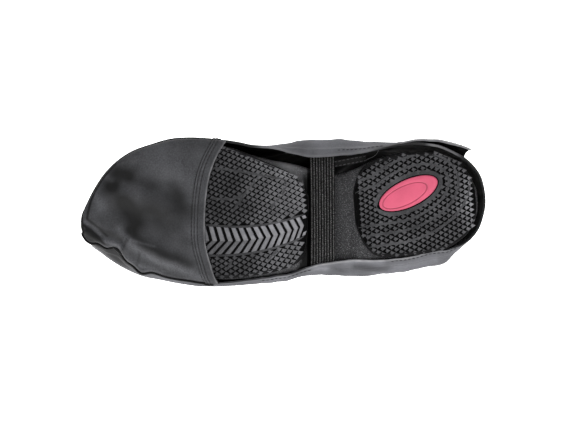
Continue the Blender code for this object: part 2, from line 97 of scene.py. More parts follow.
# Widest outline of the cover seen from below: station, outer side, inner side
SIDE = (
    (-1.6, -2, -2), (1.2, -16.6, 16.4), (4.4, -24.6, 22.2), (11.4, -33.2, 30.4), (18.4, -39.2, 35.6),
    (25.4, -44.6, 39.8), (32, -50.2, 42.8), (37, -52.4, 44), (46, -53.4, 45.6), (60, -55, 46.6),
    (80, -56.6, 48.4), (100, -57.5, 51.4), (115, -55.6, 52.9), (135, -53.6, 53.7), (148, -53.9, 53.2),
    (160, -56.9, 52), (178, -57.4, 52.8), (192, -57.5, 56.6), (210, -57.5, 60.2), (229, -56.2, 62.6),
    (242, -53.7, 62.8), (261, -48.8, 59.2), (275, -45, 55.4), (287.5, -38.6, 48.8),
    (299.6, -30.2, 38.4), (308.8, -22.4, 26.4), (315.8, -15.8, 14.4), (319.2, -10.4, 8), (321, 0, 0),
)

# Bottom hem: station, inset outer side, inset inner side, height
HEM = (
    (-1.6, 0.5, 0.5, 5.0), (13, 0.7, 1.0, 4.6), (25, 4.6, 1.4, 4.4), (36, 11.0, 1.2, 4.4),
    (60, 10.8, 1.4, 4.4), (84, 12.0, 7.4, 4.6), (105, 13.4, 12.0, 5.0), (120, 11.0, 13.6, 5.0),
    (136, 7.9, 13.3, 5.0), (150, 5.2, 8.2, 4.6), (163, 5.2, 2.4, 4.4), (185, 3.8, 1.0, 5.0),
    (200, 3.2, 1.0, 6.4), (215, 3.0, 1.0, 8.2), (235, 4.4, 0.9, 11.3), (256, 4.4, 0.8, 14.4),
    (267, 5.6, 0.8, 16.1), (275, 3.4, 0.8, 17.5), (281, 6.6, 0.8, 18.6), (286.5, 8.2, 0.8, 19.7),
    (291.5, 13.4, 0.8, 20.8), (296, 12.4, 0.8, 21.7), (301, 8.4, 0.8, 22.6), (307, 7.0, 0.8, 23.7),
    (315, 2.5, 0.8, 25.1), (321, 1.0, 0.8, 26.0),
)

# Cover above its bulge: height, back station, front station on the vamp, side draw-in
CROWN = (
    (38, -1.4, 320.3, 0.992), (46, -0.6, 316.6, 0.980), (53, 0.6, 309.4, 0.968),
    (59, 1.8, 298.0, 0.958), (64, 3.0, 284.0, 0.950), (69, 3.8, 264.0, 0.943),
    (75, 4.8, 242.0, 0.936), (82, 6.0, 221.0, 0.928), (91, 7.2, 201.0, 0.918),
    (102, 8.5, 184.0, 0.908), (116, 9.4, 168.5, 0.900), (132, 9.8, 157.5, 0.900),
    (150, 9.6, 150.5, 0.900), (168, 9.0, 147.5, 0.900), (185, 7.6, 146.5, 0.900),
    (205, 6.0, 146.0, 0.900),
)

# Slack shaft: height, outer reach, inner reach
SHAFT = ((60, -51, 46), (102, -51.4, 46), (116, -51.6, 44.6), (132, -52, 41.4), (150, -52.6, 36.6),
         (168, -53.8, 31), (185, -55.2, 25.4), (205, -56.7, 20))
SHAFT_FROM = 58.0
SHAFT_TO = 125.0
SHAFT_ROUND = 0.92
CROWN_ROUND = 2.3
VAMP_FROM = 96.0
VAMP_SOFT = 50.0

# Ground line of the tread with its toe spring: station, height
SPRING = ((0, 0), (90, 0), (172, 0), (182, 0.5), (192, 1.5), (202, 2.7), (212, 3.9), (222, 5.2),
          (240, 7.6), (260, 10.5), (280, 13.8), (300, 17.7), (306, 19.0), (321, 22.4))

# Outlines of the sole pieces: station, outer edge, inner edge
SOLE = (
    (4.5, -9, 4), (6.5, -17, 11), (10.5, -25, 19.6), (17, -31.4, 26.6), (28, -39, 33.2),
    (45, -44, 37.4), (65, -46, 38.4), (85, -46.8, 34.2), (100, -46.4, 28.4), (115, -46, 26),
    (128, -46.4, 27.4), (140, -47.8, 33), (152, -49.6, 36.8), (165, -51.2, 40), (180, -52.2, 45.2),
    (200, -52.8, 53.6), (220, -51.4, 55.6), (240, -47.6, 54.2), (260, -42.4, 50), (280, -34, 42),
    (293, -25, 32), (301, -16, 22), (305, -6, 12),
)
HEEL_TREAD = (
    (6.4, -9, 4), (8.6, -18.4, 12.8), (13, -27.2, 22.4), (20, -33.4, 30), (32, -39.6, 35.6), (45, -42.2, 37),
    (61, -43.2, 36.8), (76, -43, 35), (84, -42.6, 33.4), (89, -40.8, 31.4), (93, -37.2, 29.6),
    (97, -31.4, 24.6), (100.4, -22.4, 17), (102.5, -12, 7),
)
FORE_TREAD = (
    (138, 3, 10), (139.6, -8, 13.4), (141.4, -24, 16.4), (144.4, -36, 21), (149, -41.6, 27),
    (158, -45.6, 32.6), (166, -48, 36.8), (175, -49.4, 41.2), (185, -50.2, 46.4), (196, -51, 51.2),
    (215, -50.4, 54.2), (240, -46.6, 53), (260, -41.4, 48.8), (280, -33, 40.8), (293, -24, 30.8),
    (300, -16, 22), (304, -6, 12),
)
HEEL_TREAD_THICK = 8.0
FORE_TREAD_THICK = 6.0
TREAD_EDGE = 3.0

# Sole body heights over the ground line: station, under side, upper side
SOLE_BODY = (
    (4.5, 8, 24), (60, 8, 23), (102.6, 8, 20.8), (104, 9.4, 20.7), (107, 12, 20.5), (122, 12.4, 19.4),
    (136.6, 12, 18.2), (139.2, 9.4, 18), (140.4, 6.3, 17.8), (160, 6.3, 16), (190, 6.3, 14.6),
    (305, 6.3, 14),
)
WAIST_SKEW = 6.0
SOLE_EDGE = 4.8
INSOLE_INSET = 3.0
INSOLE_THICK = 3.0

# Chevron strip: station, middle line, half width, sweep of the outer arm and the inner arm, bar width
CHEVRON = ((136, -11, 7.4, 3.8, 2.9, 3.0), (141, -12.7, 7.6, 4.0, 3.0, 3.1),
           (147, -14.8, 8.0, 4.3, 3.2, 3.5),
           (158, -17.9, 8.5, 4.9, 3.5, 3.9), (174, -20.7, 9.2, 6.3, 4.0, 4.1),
           (194, -21.9, 10.1, 9.2, 3.3, 4.1),
           (217, -20.2, 11.2, 12.3, 2.2, 4.0), (240, -17.6, 11.6, 14, 2.0, 4.0))
# Stations where the bars start at the middle line, wider apart towards the toe
CHEVRON_STARTS = (138.5, 143.0, 147.7, 152.9, 158.3, 163.9, 169.6, 175.5, 181.5, 187.6, 193.7, 199.9, 206.1,
                  212.4, 218.7, 225.0)

# Heel badge
BADGE_AT = (59.0, 6.0)
BADGE_LONG = 25.0
BADGE_SHORT = 10.6
BADGE_TURN = 21.0

# Rear hem of the toe pocket across the forefoot: inner/outer position, station
TOE_HEM = ((-57, 212.5), (-53, 215), (-39, 219), (-24, 221.8), (-3, 221), (17.6, 218), (34, 213.6),
           (44.7, 208.6), (54, 202.5), (58, 199.5))
TOE_WALL = 1.0
TOE_HEM_STEP = 0.6
TOE_HEM_BAND = 10.4
TOE_EDGE_ROUND = 6.0
TOE_SLACK = 0.9
SEAM_GAP = 0.3

# Elastic strap: across position, height of its middle, station of its middle
STRAP = ((-50.0, 10.2, 130.8), (-48.0, 9.2, 130.7), (-45.0, 8.0, 130.5), (-42.0, 6.9, 130.3),
         (-39.0, 5.9, 130.0), (-33.0, 4.9, 129.6), (-10.0, 4.4, 128.0), (12.0, 4.4, 126.6),
         (28.0, 4.9, 125.6), (34.0, 5.9, 125.2), (37.5, 7.0, 125.0), (40.5, 7.8, 125.0),
         (44.0, 8.8, 125.0), (47.5, 10.1, 125.0))
STRAP_WIDE = 20.0
STRAP_THICK = 1.8

# Rear closure flap: station, stand-off from the cover at the hem
FLAP = ((64, 0.4), (52, 0.9), (40, 1.8), (28, 3.4), (20, 4.8), (12.5, 6.4))
FLAP_TOP_STANDOFF = 0.5
FLAP_LIFT_HEIGHT = 75.0
FLAP_THICK = 1.2
FLAP_TOP = 168.0


def curve(rows, x, column=1, key=None):
    """Smooth curve through one column of a table; key bends the table's first column."""
    xs, ys = (np.array([row[c] for row in rows], dtype=float) for c in (0, column))
    x = np.asarray(x, dtype=float)
    if key is not None:
        xs, x = key(xs), key(x)
    x = np.clip(x, xs[0], xs[-1])
    slope = np.gradient(ys, xs)
    i = np.clip(np.searchsorted(xs, x, side="right") - 1, 0, len(xs) - 2)
    span = xs[i + 1] - xs[i]
    t = (x - xs[i]) / span
    low = (2 * t**3 - 3 * t**2 + 1) * ys[i] + (t**3 - 2 * t**2 + t) * span * slope[i]
    return low + (3 * t**2 - 2 * t**3) * ys[i + 1] + (t**3 - t**2) * span * slope[i + 1]


def through(knots, samples):
    """Smooth curves through the columns of a list of points."""
    rows = [(index, *knot) for index, knot in enumerate(knots)]
    x = np.linspace(0, len(rows) - 1, samples)
    return [curve(rows, x, column) for column in range(1, len(rows[0]))]


def line(rows, x, column=1):
    """Straight-line reading of one column of a table."""
    ordered = sorted(rows)
    return np.interp(x, [row[0] for row in ordered], [row[column] for row in ordered])


def read_along(at, reach, path):
    """Points of a path at some distances along it."""
    return np.stack([np.interp(at, reach, path[:, c]) for c in range(path.shape[1])], axis=-1)


def ease(x):
    x = np.clip(x, 0.0, 1.0)
    return x * x * (3 - 2 * x)


def between(x, low, low_soft, high, high_soft):
    """1 between two limits, with soft ends inside them."""
    return ease((x - low) / low_soft) * ease((high - x) / high_soft)


def gauss(distance, width):
    return np.exp(-((np.asarray(distance) / width) ** 2))


def ripple(x, seed, waves=5):
    """Smooth irregular wave between about -1 and 1, fixed by its seed."""
    chance = np.random.default_rng(seed)
    total = np.zeros_like(np.asarray(x, dtype=float))
    for _ in range(waves):
        total += np.sin(x * chance.uniform(0.6, 1.7) + chance.uniform(0, 6.28)) / waves
    return total * 1.6


def unit(vectors):
    return vectors / np.maximum(np.linalg.norm(vectors, axis=-1, keepdims=True), 1e-9)


def ended(start, end):
    """Key that turns a station into an angle, so that round ends stay round."""
    def key(a):
        return np.arccos(np.clip(1 - 2 * ((np.asarray(a, dtype=float) - start) / (end - start)), -1, 1))
    return key


def edge_y(rows, a, column):
    """Outer (1) or inner (2) edge of an outline at a station."""
    return curve(rows, a, column, ended(rows[0][0], rows[-1][0]))


def spring(a):
    a = np.asarray(a, dtype=float)
    return np.where(a <= SPRING[2][0], 0.0, curve(SPRING, a))


def around(count):
    return 2 * math.pi * np.arange(count) / count


def stations(theta, back, front):
    return back + (front - back) * (1 + np.cos(theta)) / 2


def section(a, back, front):
    """Middle line and half widths, outer and inner, of a loop that is fitted between two ends."""
    rear = WAIST_AT - (WAIST_AT - a) * (WAIST_AT - HEEL_BACK) / (WAIST_AT - back)
    ahead = WAIST_AT + (a - WAIST_AT) * (TOE_TIP - WAIST_AT) / (front - WAIST_AT)
    at = np.where(a < WAIST_AT, rear, ahead)
    outer, inner = (edge_y(SIDE, at, column) for column in (1, 2))
    middle = (outer + inner) / 2
    return middle, middle - outer, inner - middle


def inner_half(theta):
    return np.sin(theta) >= 0


def loop_points(theta, a, middle, half, h):
    y = middle + np.sign(np.sin(theta).round(9)) * half
    return np.stack([a, y, np.broadcast_to(h, a.shape)], axis=-1)


def bulge_height(a, low=BULGE_HEIGHT):
    return low + (TOE_BULGE_HEIGHT - low) * ease((a - TOE_RISE_FROM) / TOE_RISE_LONG)


def drawn_in(half, a, column):
    """Half width at the bottom hem."""
    inset = np.maximum(curve(HEM, a, column), HEM_LEAST_INSET)
    return half - inset * np.minimum(1, half / HEM_TAPER)


def low_loop(theta, q):
    """Loop between the hem (q = 0), drawn in, and the widest outline (q = 1)."""
    at = stations(theta, HEM_BACK, HEM_FRONT)
    middle, outer, inner = section(at, HEM_BACK, HEM_FRONT)
    half = np.where(inner_half(theta), drawn_in(inner, at, 2), drawn_in(outer, at, 1))
    hem = loop_points(theta, at, middle, half, curve(HEM, at, 3))
    a = stations(theta, HEEL_BACK, TOE_TIP)
    wide = np.where(inner_half(theta), edge_y(SIDE, a, 2), edge_y(SIDE, a, 1))
    out = math.sin(q * math.pi / 2)
    y = hem[:, 1] + (wide - hem[:, 1]) * out
    h = hem[:, 2] + (bulge_height(a) - hem[:, 2]) * q
    return np.stack([at + (a - at) * out, y, h], axis=-1)


def crown_height(a):
    """Height of the vamp's middle line at a station."""
    h = np.linspace(CROWN[0][0], CROWN[-1][0], 700)
    front = np.minimum.accumulate(curve(CROWN, h, 2))
    return np.interp(a, front[::-1], h[::-1])


def high_loop(theta, h):
    """Level loop of the cover above its bulge: rounded vamp in front, shaft over the heel."""
    back, front, draw = (float(curve(CROWN, h, column)) for column in (1, 2, 3))
    a = stations(theta, back, front)
    middle, outer, inner = section(a, back, TOE_TIP)
    half = np.where(inner_half(theta), inner, outer) * draw
    base = bulge_height(a, DOME_HEIGHT)
    rise = np.clip((h - base) / np.maximum(crown_height(a) - base, 0.01), 0, 1)
    rise = rise * ease((a - VAMP_FROM) / VAMP_SOFT)
    half = half * np.sqrt(np.clip(1 - rise**CROWN_ROUND, 0, 1))
    low, high = (float(curve(SHAFT, h, column)) for column in (1, 2))
    shaft = (high - low) / 2 * np.abs(np.sin(theta)) ** SHAFT_ROUND
    share = float(ease((h - SHAFT_FROM) / (SHAFT_TO - SHAFT_FROM)))
    half = half * (1 - share) + shaft * share
    middle = middle * (1 - share) + (low + high) / 2 * share
    return loop_points(theta, a, middle, half, h)


def wall_loop(theta, share):
    """Loop on the nearly upright wall between the widest outline (0) and the first level loop (1)."""
    low = low_loop(theta, 1.0)
    return low + (high_loop(theta, WALL_HEIGHT) - low) * share


def grid_normals(grid, closed):
    """Outward normals of a grid of points (rows upwards, columns around)."""
    if closed:
        along = np.roll(grid, -1, axis=1) - np.roll(grid, 1, axis=1)
    else:
        along = np.gradient(grid, axis=1)
    return unit(np.cross(along, np.gradient(grid, axis=0)))


def path_distance(points, path):
    """Distance from points to a path, and the share along it where that is."""
    flat = points.reshape(-1, points.shape[-1])
    path = np.array(path, dtype=float)
    best = np.full(len(flat), 1e9)
    share = np.zeros(len(flat))
    steps = len(path) - 1
    for index in range(steps):
        span = path[index + 1] - path[index]
        t = np.clip((flat - path[index]) @ span / max(float(span @ span), 1e-9), 0, 1)
        reach = np.linalg.norm(flat - path[index] - t[:, None] * span, axis=1)
        nearer = reach < best
        best = np.where(nearer, reach, best)
        share = np.where(nearer, (index + t) / steps, share)
    return best.reshape(points.shape[:-1]), share.reshape(points.shape[:-1])


def path_reach(path):
    """Distance along a path at each of its points."""
    return np.concatenate([[0.0], np.cumsum(np.linalg.norm(np.diff(path, axis=0), axis=1))])


def patches(points, rows):
    """Sum of soft patches along paths: each row is an amount, a radius and the points."""
    return sum(amount * gauss(path_distance(points, knots)[0], wide) for amount, wide, knots in rows)


def world(points):
    """Shoe-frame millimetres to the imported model's metres."""
    points = np.asarray(points, dtype=float)
    placed = [ORIGIN_A - points[..., 0], ORIGIN_H + points[..., 2], ORIGIN_Y + points[..., 1]]
    return np.stack(placed, axis=-1) * MM


def world_direction(vectors):
    vectors = np.asarray(vectors, dtype=float)
    return np.stack([-vectors[..., 0], vectors[..., 2], vectors[..., 1]], axis=-1)


def link_piece(name, data):
    item = bpy.data.objects.new(name, data)
    bpy.context.scene.collection.objects.link(item)
    return item


def point_values(mesh, name, values, kind="FLOAT"):
    layer = mesh.attributes.new(name, kind, "POINT")
    key = "value" if kind == "FLOAT" else "vector"
    layer.data.foreach_set(key, np.asarray(values, dtype=np.float32).ravel())


def make_piece(name, points, faces, finish, uv=None, values=None, sharp=40):
    """Mesh piece from shoe-frame points, with a weave map in millimetres and named values per point."""
    mesh = bpy.data.meshes.new(name)
    mesh.from_pydata(world(points).tolist(), [], faces)
    for key, value in (values or {}).items():
        point_values(mesh, key, value)
    if uv is not None:
        layer = mesh.uv_layers.new(name="weave")
        corners = np.zeros(len(mesh.loops), dtype=np.int32)
        mesh.loops.foreach_get("vertex_index", corners)
        layer.data.foreach_set("uv", np.asarray(uv, dtype=np.float32)[corners].ravel())
    work = bmesh.new()
    work.from_mesh(mesh)
    bmesh.ops.recalc_face_normals(work, faces=work.faces)
    work.to_mesh(mesh)
    work.free()
    mesh.polygons.foreach_set("use_smooth", [True] * len(mesh.polygons))
    mesh.set_sharp_from_angle(angle=math.radians(sharp))
    mesh.materials.append(finish)
    mesh.update()
    return link_piece(name, mesh)


def seat(piece, slot, *nodes):
    """Rides on the body and stands for its solids; its slot is not used."""
    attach(piece, "root")
    if nodes:
        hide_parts(*nodes)
    return piece


def measured_area(points):
    """Area in square metres of a grid of shoe-frame points."""
    across = points[1:, :-1] - points[:-1, :-1]
    along = points[:-1, 1:] - points[:-1, :-1]
    return float(np.linalg.norm(np.cross(across, along), axis=-1).sum()) * MM * MM


def sheet_map(grid):
    """Distances along and across a grid, used as its weave map."""
    across = np.linalg.norm(np.diff(grid, axis=0), axis=-1)
    along = np.linalg.norm(np.diff(grid, axis=1), axis=-1)
    v = np.concatenate([np.zeros((1, grid.shape[1])), np.cumsum(across, axis=0)])
    u = np.concatenate([[0.0], np.cumsum(along.mean(axis=0))])
    return np.stack([np.broadcast_to(u, v.shape), v], axis=-1)


def quads(rows, columns, closed):
    """Faces between the points of a grid; a closed grid runs round."""
    i, j = np.meshgrid(np.arange(rows - 1), np.arange(columns if closed else columns - 1), indexing="ij")
    k = (j + 1) % columns
    face = [i * columns + j, i * columns + k, (i + 1) * columns + k, (i + 1) * columns + j]
    return np.stack(face, axis=-1).reshape(-1, 4)


def shell(name, outer, inner, closed, finish, values=None, lining=None):
    """Thin sheet with a face on each side and closed edges; values are grids for the outer face."""
    rows, columns = outer.shape[:2]
    points = np.concatenate([outer.reshape(-1, 3), inner.reshape(-1, 3)])
    start = rows * columns
    face = quads(rows, columns, closed)
    faces = face.tolist() + (face[:, ::-1] + start).tolist()
    top = (rows - 1) * columns
    for c in range(columns if closed else columns - 1):
        n = (c + 1) % columns
        faces.append([c, start + c, start + n, n])
        faces.append([top + c, top + n, start + top + n, start + top + c])
    if not closed:
        for r in range(rows - 1):
            for c, order in ((0, 1), (columns - 1, -1)):
                low = r * columns + c
                faces.append([low, low + columns, start + low + columns, start + low][::order])
    doubled = {key: np.tile(np.ravel(grid), 2) for key, grid in (values or {}).items()}
    uv = np.tile(sheet_map(outer).reshape(-1, 2), (2, 1))
    piece = make_piece(name, points, faces, finish, uv, doubled, 50)
    if lining is not None:
        piece.data.materials.append(lining)
        sides = np.zeros(len(piece.data.polygons), dtype=np.int32)
        sides[len(face): 2 * len(face)] = 1
        piece.data.polygons.foreach_set("material_index", sides)
    return piece


def lofts(name, solids, finish, values=None, sharp=30):
    """One piece from closed solids, each through rings of equal count."""
    points = []
    faces = []
    for rings in solids:
        rings = np.asarray(rings, dtype=float)
        start = len(points)
        count = rings.shape[1]
        faces += (quads(len(rings), count, True)[:, [0, 3, 2, 1]] + start).tolist()
        faces.append([start + j for j in range(count)])
        faces.append([start + (len(rings) - 1) * count + j for j in range(count - 1, -1, -1)])
        points += rings.reshape(-1, 3).tolist()
    return make_piece(name, points, faces, finish, None, values, sharp)


def cord(name, path, thick, outward, finish, sides=8):
    """Round cord of varying radius along a path, set outward from it in plan."""
    path = np.asarray(path, dtype=float)
    along = unit(np.gradient(path, axis=0))
    side = unit(np.cross(along, (0.0, 0.0, 1.0)))
    up = np.cross(side, along)
    path = path + side * np.broadcast_to(outward, len(path))[:, None]
    turns = around(sides)[None, :, None]
    ring = side[:, None] * np.cos(turns) + up[:, None] * np.sin(turns)
    radius = np.broadcast_to(thick, len(path))[:, None, None]
    return lofts(name, [path[:, None] + radius * ring], finish, sharp=60)


class Graph:
    """Adds and joins the nodes of one tree; a value is a number, a tuple or another node's output."""

    def __init__(self, tree):
        self.tree = tree

    def feed(self, socket, value):
        if isinstance(value, bpy.types.NodeSocket):
            self.tree.links.new(value, socket)
        elif socket.type == "RGBA":
            socket.default_value = (*tuple(value)[:3], 1.0)
        else:
            socket.default_value = value

    def add(self, kind, *values, settings=None, **named):
        node = self.tree.nodes.new(kind)
        for key, value in (settings or {}).items():
            setattr(node, key, value)
        for socket, value in zip(node.inputs, values):
            self.feed(socket, value)
        for key, value in named.items():
            self.feed(node.inputs[key.replace("_", " ")], value)
        return node.outputs

    def math(self, operation, first, second=0.0):
        return self.add("ShaderNodeMath", first, second, settings={"operation": operation})[0]

    def times(self, first, second):
        return self.math("MULTIPLY", first, second)

    def vector_times(self, first, second):
        return self.add("ShaderNodeVectorMath", first, second, settings={"operation": "MULTIPLY"})["Vector"]

    def axes(self, vector):
        return self.add("ShaderNodeSeparateXYZ", vector)


class Finish(Graph):
    """Material with a Principled shader that is set by name."""

    def __init__(self, name, roughness=0.5, specular=0.5):
        self.material = bpy.data.materials.new(name)
        self.material.use_nodes = True
        super().__init__(self.material.node_tree)
        self.place = self.add("ShaderNodeTexCoord")["Object"]
        self.set("Roughness", roughness)
        self.set("Specular IOR Level", specular)

    def set(self, name, value):
        self.feed(self.tree.nodes["Principled BSDF"].inputs[name], value)

    def noise(self, scale, detail=3.0, rough=0.5, vector=None):
        return self.add("ShaderNodeTexNoise", Vector=vector or self.place, Scale=scale, Detail=detail,
                        Roughness=rough)["Fac"]

    def span(self, value, low, high, to_low=0.0, to_high=1.0):
        limits = (low, high, to_low, to_high)
        return self.add("ShaderNodeMapRange", value, *limits, settings={"clamp": True})["Result"]

    def mix(self, share, first, second):
        node = self.tree.nodes.new("ShaderNodeMix")
        node.data_type = "RGBA"
        for place, value in ((0, share), (6, first), (7, second)):
            self.feed(node.inputs[place], value)
        return node.outputs[2]

    def clouded(self, share, colour, low, high):
        """Colour between a darker and a lighter tint of it."""
        return self.mix(share, tint(colour, low), tint(colour, high))

    def value(self, name):
        return self.add("ShaderNodeAttribute", settings={"attribute_name": name})["Fac"]

    def weave(self):
        return self.add("ShaderNodeUVMap", settings={"uv_map": "weave"})["UV"]

    def bump(self, height, strength, distance, **normal):
        """Bump on the shader's normal, over an earlier bump where one is given."""
        made = self.add("ShaderNodeBump", Height=height, Strength=strength, Distance=distance, **normal)
        self.set("Normal", made["Normal"])
        return made["Normal"]


def tint(colour, factor):
    return tuple(min(1.0, c * factor) for c in colour[:3])


def coated_fabric(name, colour, own, blotch, clouds=26.0, grain=0.18):
    """Black coated weave: blotchy tone and gloss, fine weave, pale edges of wear and painted highlight,
    painted shade in folds, and painted highlights and shade from the tone value.
    """
    n = Finish(name, specular=0.16)
    tone = n.clouded(n.span(n.noise(clouds, 4.0, 0.55), 0.3, 0.72), colour, 1 - blotch, 1 + blotch)
    tone = n.mix(n.span(n.noise(900.0, 2.0), 0.35, 0.8, 0.0, grain), tone, tint(colour, 2.2))
    # Pale edges: partly rubbed wear, partly painted highlight where an edge catches the light
    worn = n.times(n.value("worn"), n.span(n.noise(160.0, 2.0), 0.25, 0.6, 0.45, 1.0))
    tone = n.mix(worn, tone, own.wear_and_highlight_colour)
    tone = n.mix(n.value("shade"), tone, tint(colour, 0.07))
    # The tone value lifts or lowers the whole colour: painted highlights and painted shade, with some blotchy
    # tone
    lift = n.span(n.value("tone"), 0.0, 1.0, 0.1, 1.9)
    grey = n.add("ShaderNodeCombineXYZ", lift, lift, lift)["Vector"]
    n.set("Base Color", n.vector_times(tone, grey))
    n.set("Roughness", n.span(n.noise(34.0), 0.3, 0.75, own.fabric_gloss, own.fabric_gloss + 0.16))
    turns = 2 * math.pi / (own.weave_pitch / MM)
    warp, weft = (n.math("SINE", n.times(axis, turns)) for axis in n.axes(n.weave())[:2])
    cloth = n.bump(n.times(warp, weft), 0.12, 0.00012)
    n.bump(n.noise(150.0, 3.0, 0.6), 0.10, 0.0007, Normal=cloth)
    return n.material


def napped(name, colour, roughness, specular, noise, spread, contrast, bump):
    """Plain cloth or thread with a fine nap."""
    n = Finish(name, roughness, specular)
    nap = n.noise(*noise)
    share = n.span(nap, 0.5 - spread, 0.5 + spread)
    n.set("Base Color", n.clouded(share, colour, 1 - contrast, 1 + contrast))
    n.bump(nap, *bump)
    return n.material


def lining_cloth(name, colour):
    return napped(name, colour, 0.95, 0.02, (700.0, 2.0), 0.2, 0.3, (0.3, 0.0002))


def foam(name, colour):
    return napped(name, colour, 0.92, 0.5, (800.0, 3.0, 0.65), 0.2, 0.3, (0.4, 0.0003))


def thread(name, colour):
    return napped(name, colour, 0.7, 0.1, (2400.0, 1.0), 0.15, 0.4, (0.4, 0.0001))


def ribbed_elastic(name, colour, fleck):
    """Elastic webbing with pale thread flecks in its ribs and painted shade in the valleys between them."""
    n = Finish(name, 0.82, 0.05)
    stretched = n.add("ShaderNodeMapping", Vector=n.weave(), Scale=(2.6, 1.15, 1.0))["Vector"]
    threads = n.noise(1.0, 2.0, 0.6, stretched)
    crest = n.span(n.value("rib"), 0.55, 0.95)
    spots = n.times(n.span(threads, 0.46, 0.62), crest)
    # Valleys between the ribs darker: painted shade
    tone = n.mix(crest, tint(colour, 0.12), colour)
    n.set("Base Color", n.mix(n.times(spots, n.span(n.noise(1500.0, 1.0), 0.3, 0.6)), tone, fleck))
    n.bump(threads, 0.35, 0.0003)
    return n.material


def tread_rubber(name, top, floor):
    """Lug rubber: rubbed grey tops over a nearly black floor of black rubber darkened with painted shade."""
    n = Finish(name, specular=0.04)
    wear = n.noise(70.0, 4.0, 0.6)
    grain = n.noise(1400.0, 2.0)
    lit = n.clouded(n.span(wear, 0.32, 0.7), top, 0.66, 1.45)
    lit = n.mix(n.span(grain, 0.5, 0.85, 0.0, 0.3), lit, tint(top, 2.4))
    # Rub value: lighter lug tops, partly wear and partly painted light
    lit = n.mix(n.times(n.value("rub"), n.span(wear, 0.3, 0.6, 0.4, 1.0)), lit, tint(top, 4.2))
    n.set("Base Color", n.mix(n.value("lug"), floor, lit))
    n.set("Roughness", n.span(wear, 0.3, 0.75, 0.46, 0.68))
    n.bump(grain, 0.18, 0.00015)
    return n.material


def grained_rubber(name, colour, bright):
    """Moulded sole rubber with fine pale grains."""
    n = Finish(name, 0.66, 0.1)
    grain = n.noise(1250.0, 2.0, 0.6)
    tone = n.clouded(n.span(n.noise(36.0), 0.3, 0.7), colour, 0.78, 1.25)
    tone = n.mix(n.span(grain, 0.52, 0.68, 0.0, 0.9), tone, bright)
    tone = n.mix(n.value("pale"), tone, bright)
    n.set("Base Color", n.mix(n.value("shade"), tone, tint(colour, 0.06)))
    n.bump(grain, 0.3, 0.0002)
    return n.material


def satin_rubber(name, colour):
    """Pale grey bar rubber, slightly rubbed, with painted shade where its lug value is low."""
    n = Finish(name, specular=0.15)
    wear = n.noise(220.0)
    tone = n.clouded(n.span(wear, 0.3, 0.7), colour, 0.78, 1.2)
    n.set("Base Color", n.mix(n.value("lug"), tint(colour, 0.12), tone))
    n.set("Roughness", n.span(wear, 0.3, 0.7, 0.42, 0.6))
    n.bump(n.noise(900.0), 0.15, 0.00015)
    return n.material


def moulded_badge(name, colour):
    """Soft pink moulding with slightly paler rubbed patches."""
    n = Finish(name, specular=0.2)
    wear = n.noise(120.0)
    tone = n.clouded(n.span(wear, 0.35, 0.75), colour, 1.0, 1.14)
    n.set("Base Color", n.mix(n.value("shade"), tone, tint(colour, 0.3)))
    n.set("Roughness", n.span(wear, 0.3, 0.7, 0.38, 0.5))
    n.bump(n.noise(1100.0), 0.1, 0.0001)
    return n.material


def studio_white(name, colour, glow):
    """Plain pale studio paper on a light table: it glows, most of all round the middle."""
    n = Finish(name, 0.9, 0.1)
    n.set("Base Color", n.clouded(n.span(n.noise(6.0, 2.0), 0.3, 0.7), colour, 0.985, 1.0))
    x, y, _ = n.axes(n.place)
    wide = n.math("POWER", n.times(x, 1 / 0.26), 2.0)
    deep = n.math("POWER", n.times(n.math("ADD", y, 0.04), 1 / 0.15), 2.0)
    n.set("Emission Color", (1.0, 1.0, 1.0))
    n.set("Emission Strength", n.span(n.math("SQRT", n.math("ADD", wide, deep)), 0.8, 1.3, glow, 1.02))
    return n.material


def colour(name, text, value):
    return FloatVectorProperty(name=name, description=text, subtype="COLOR", size=3, default=value,
                               min=0.0, max=1.0)


def factor(name, text, value, low, high):
    return FloatProperty(name=name, description=text, default=value, min=low, max=high, subtype="FACTOR")


def length(name, text, value, low, high):
    return FloatProperty(name=name, description=text, default=value, min=low, max=high, unit="LENGTH")


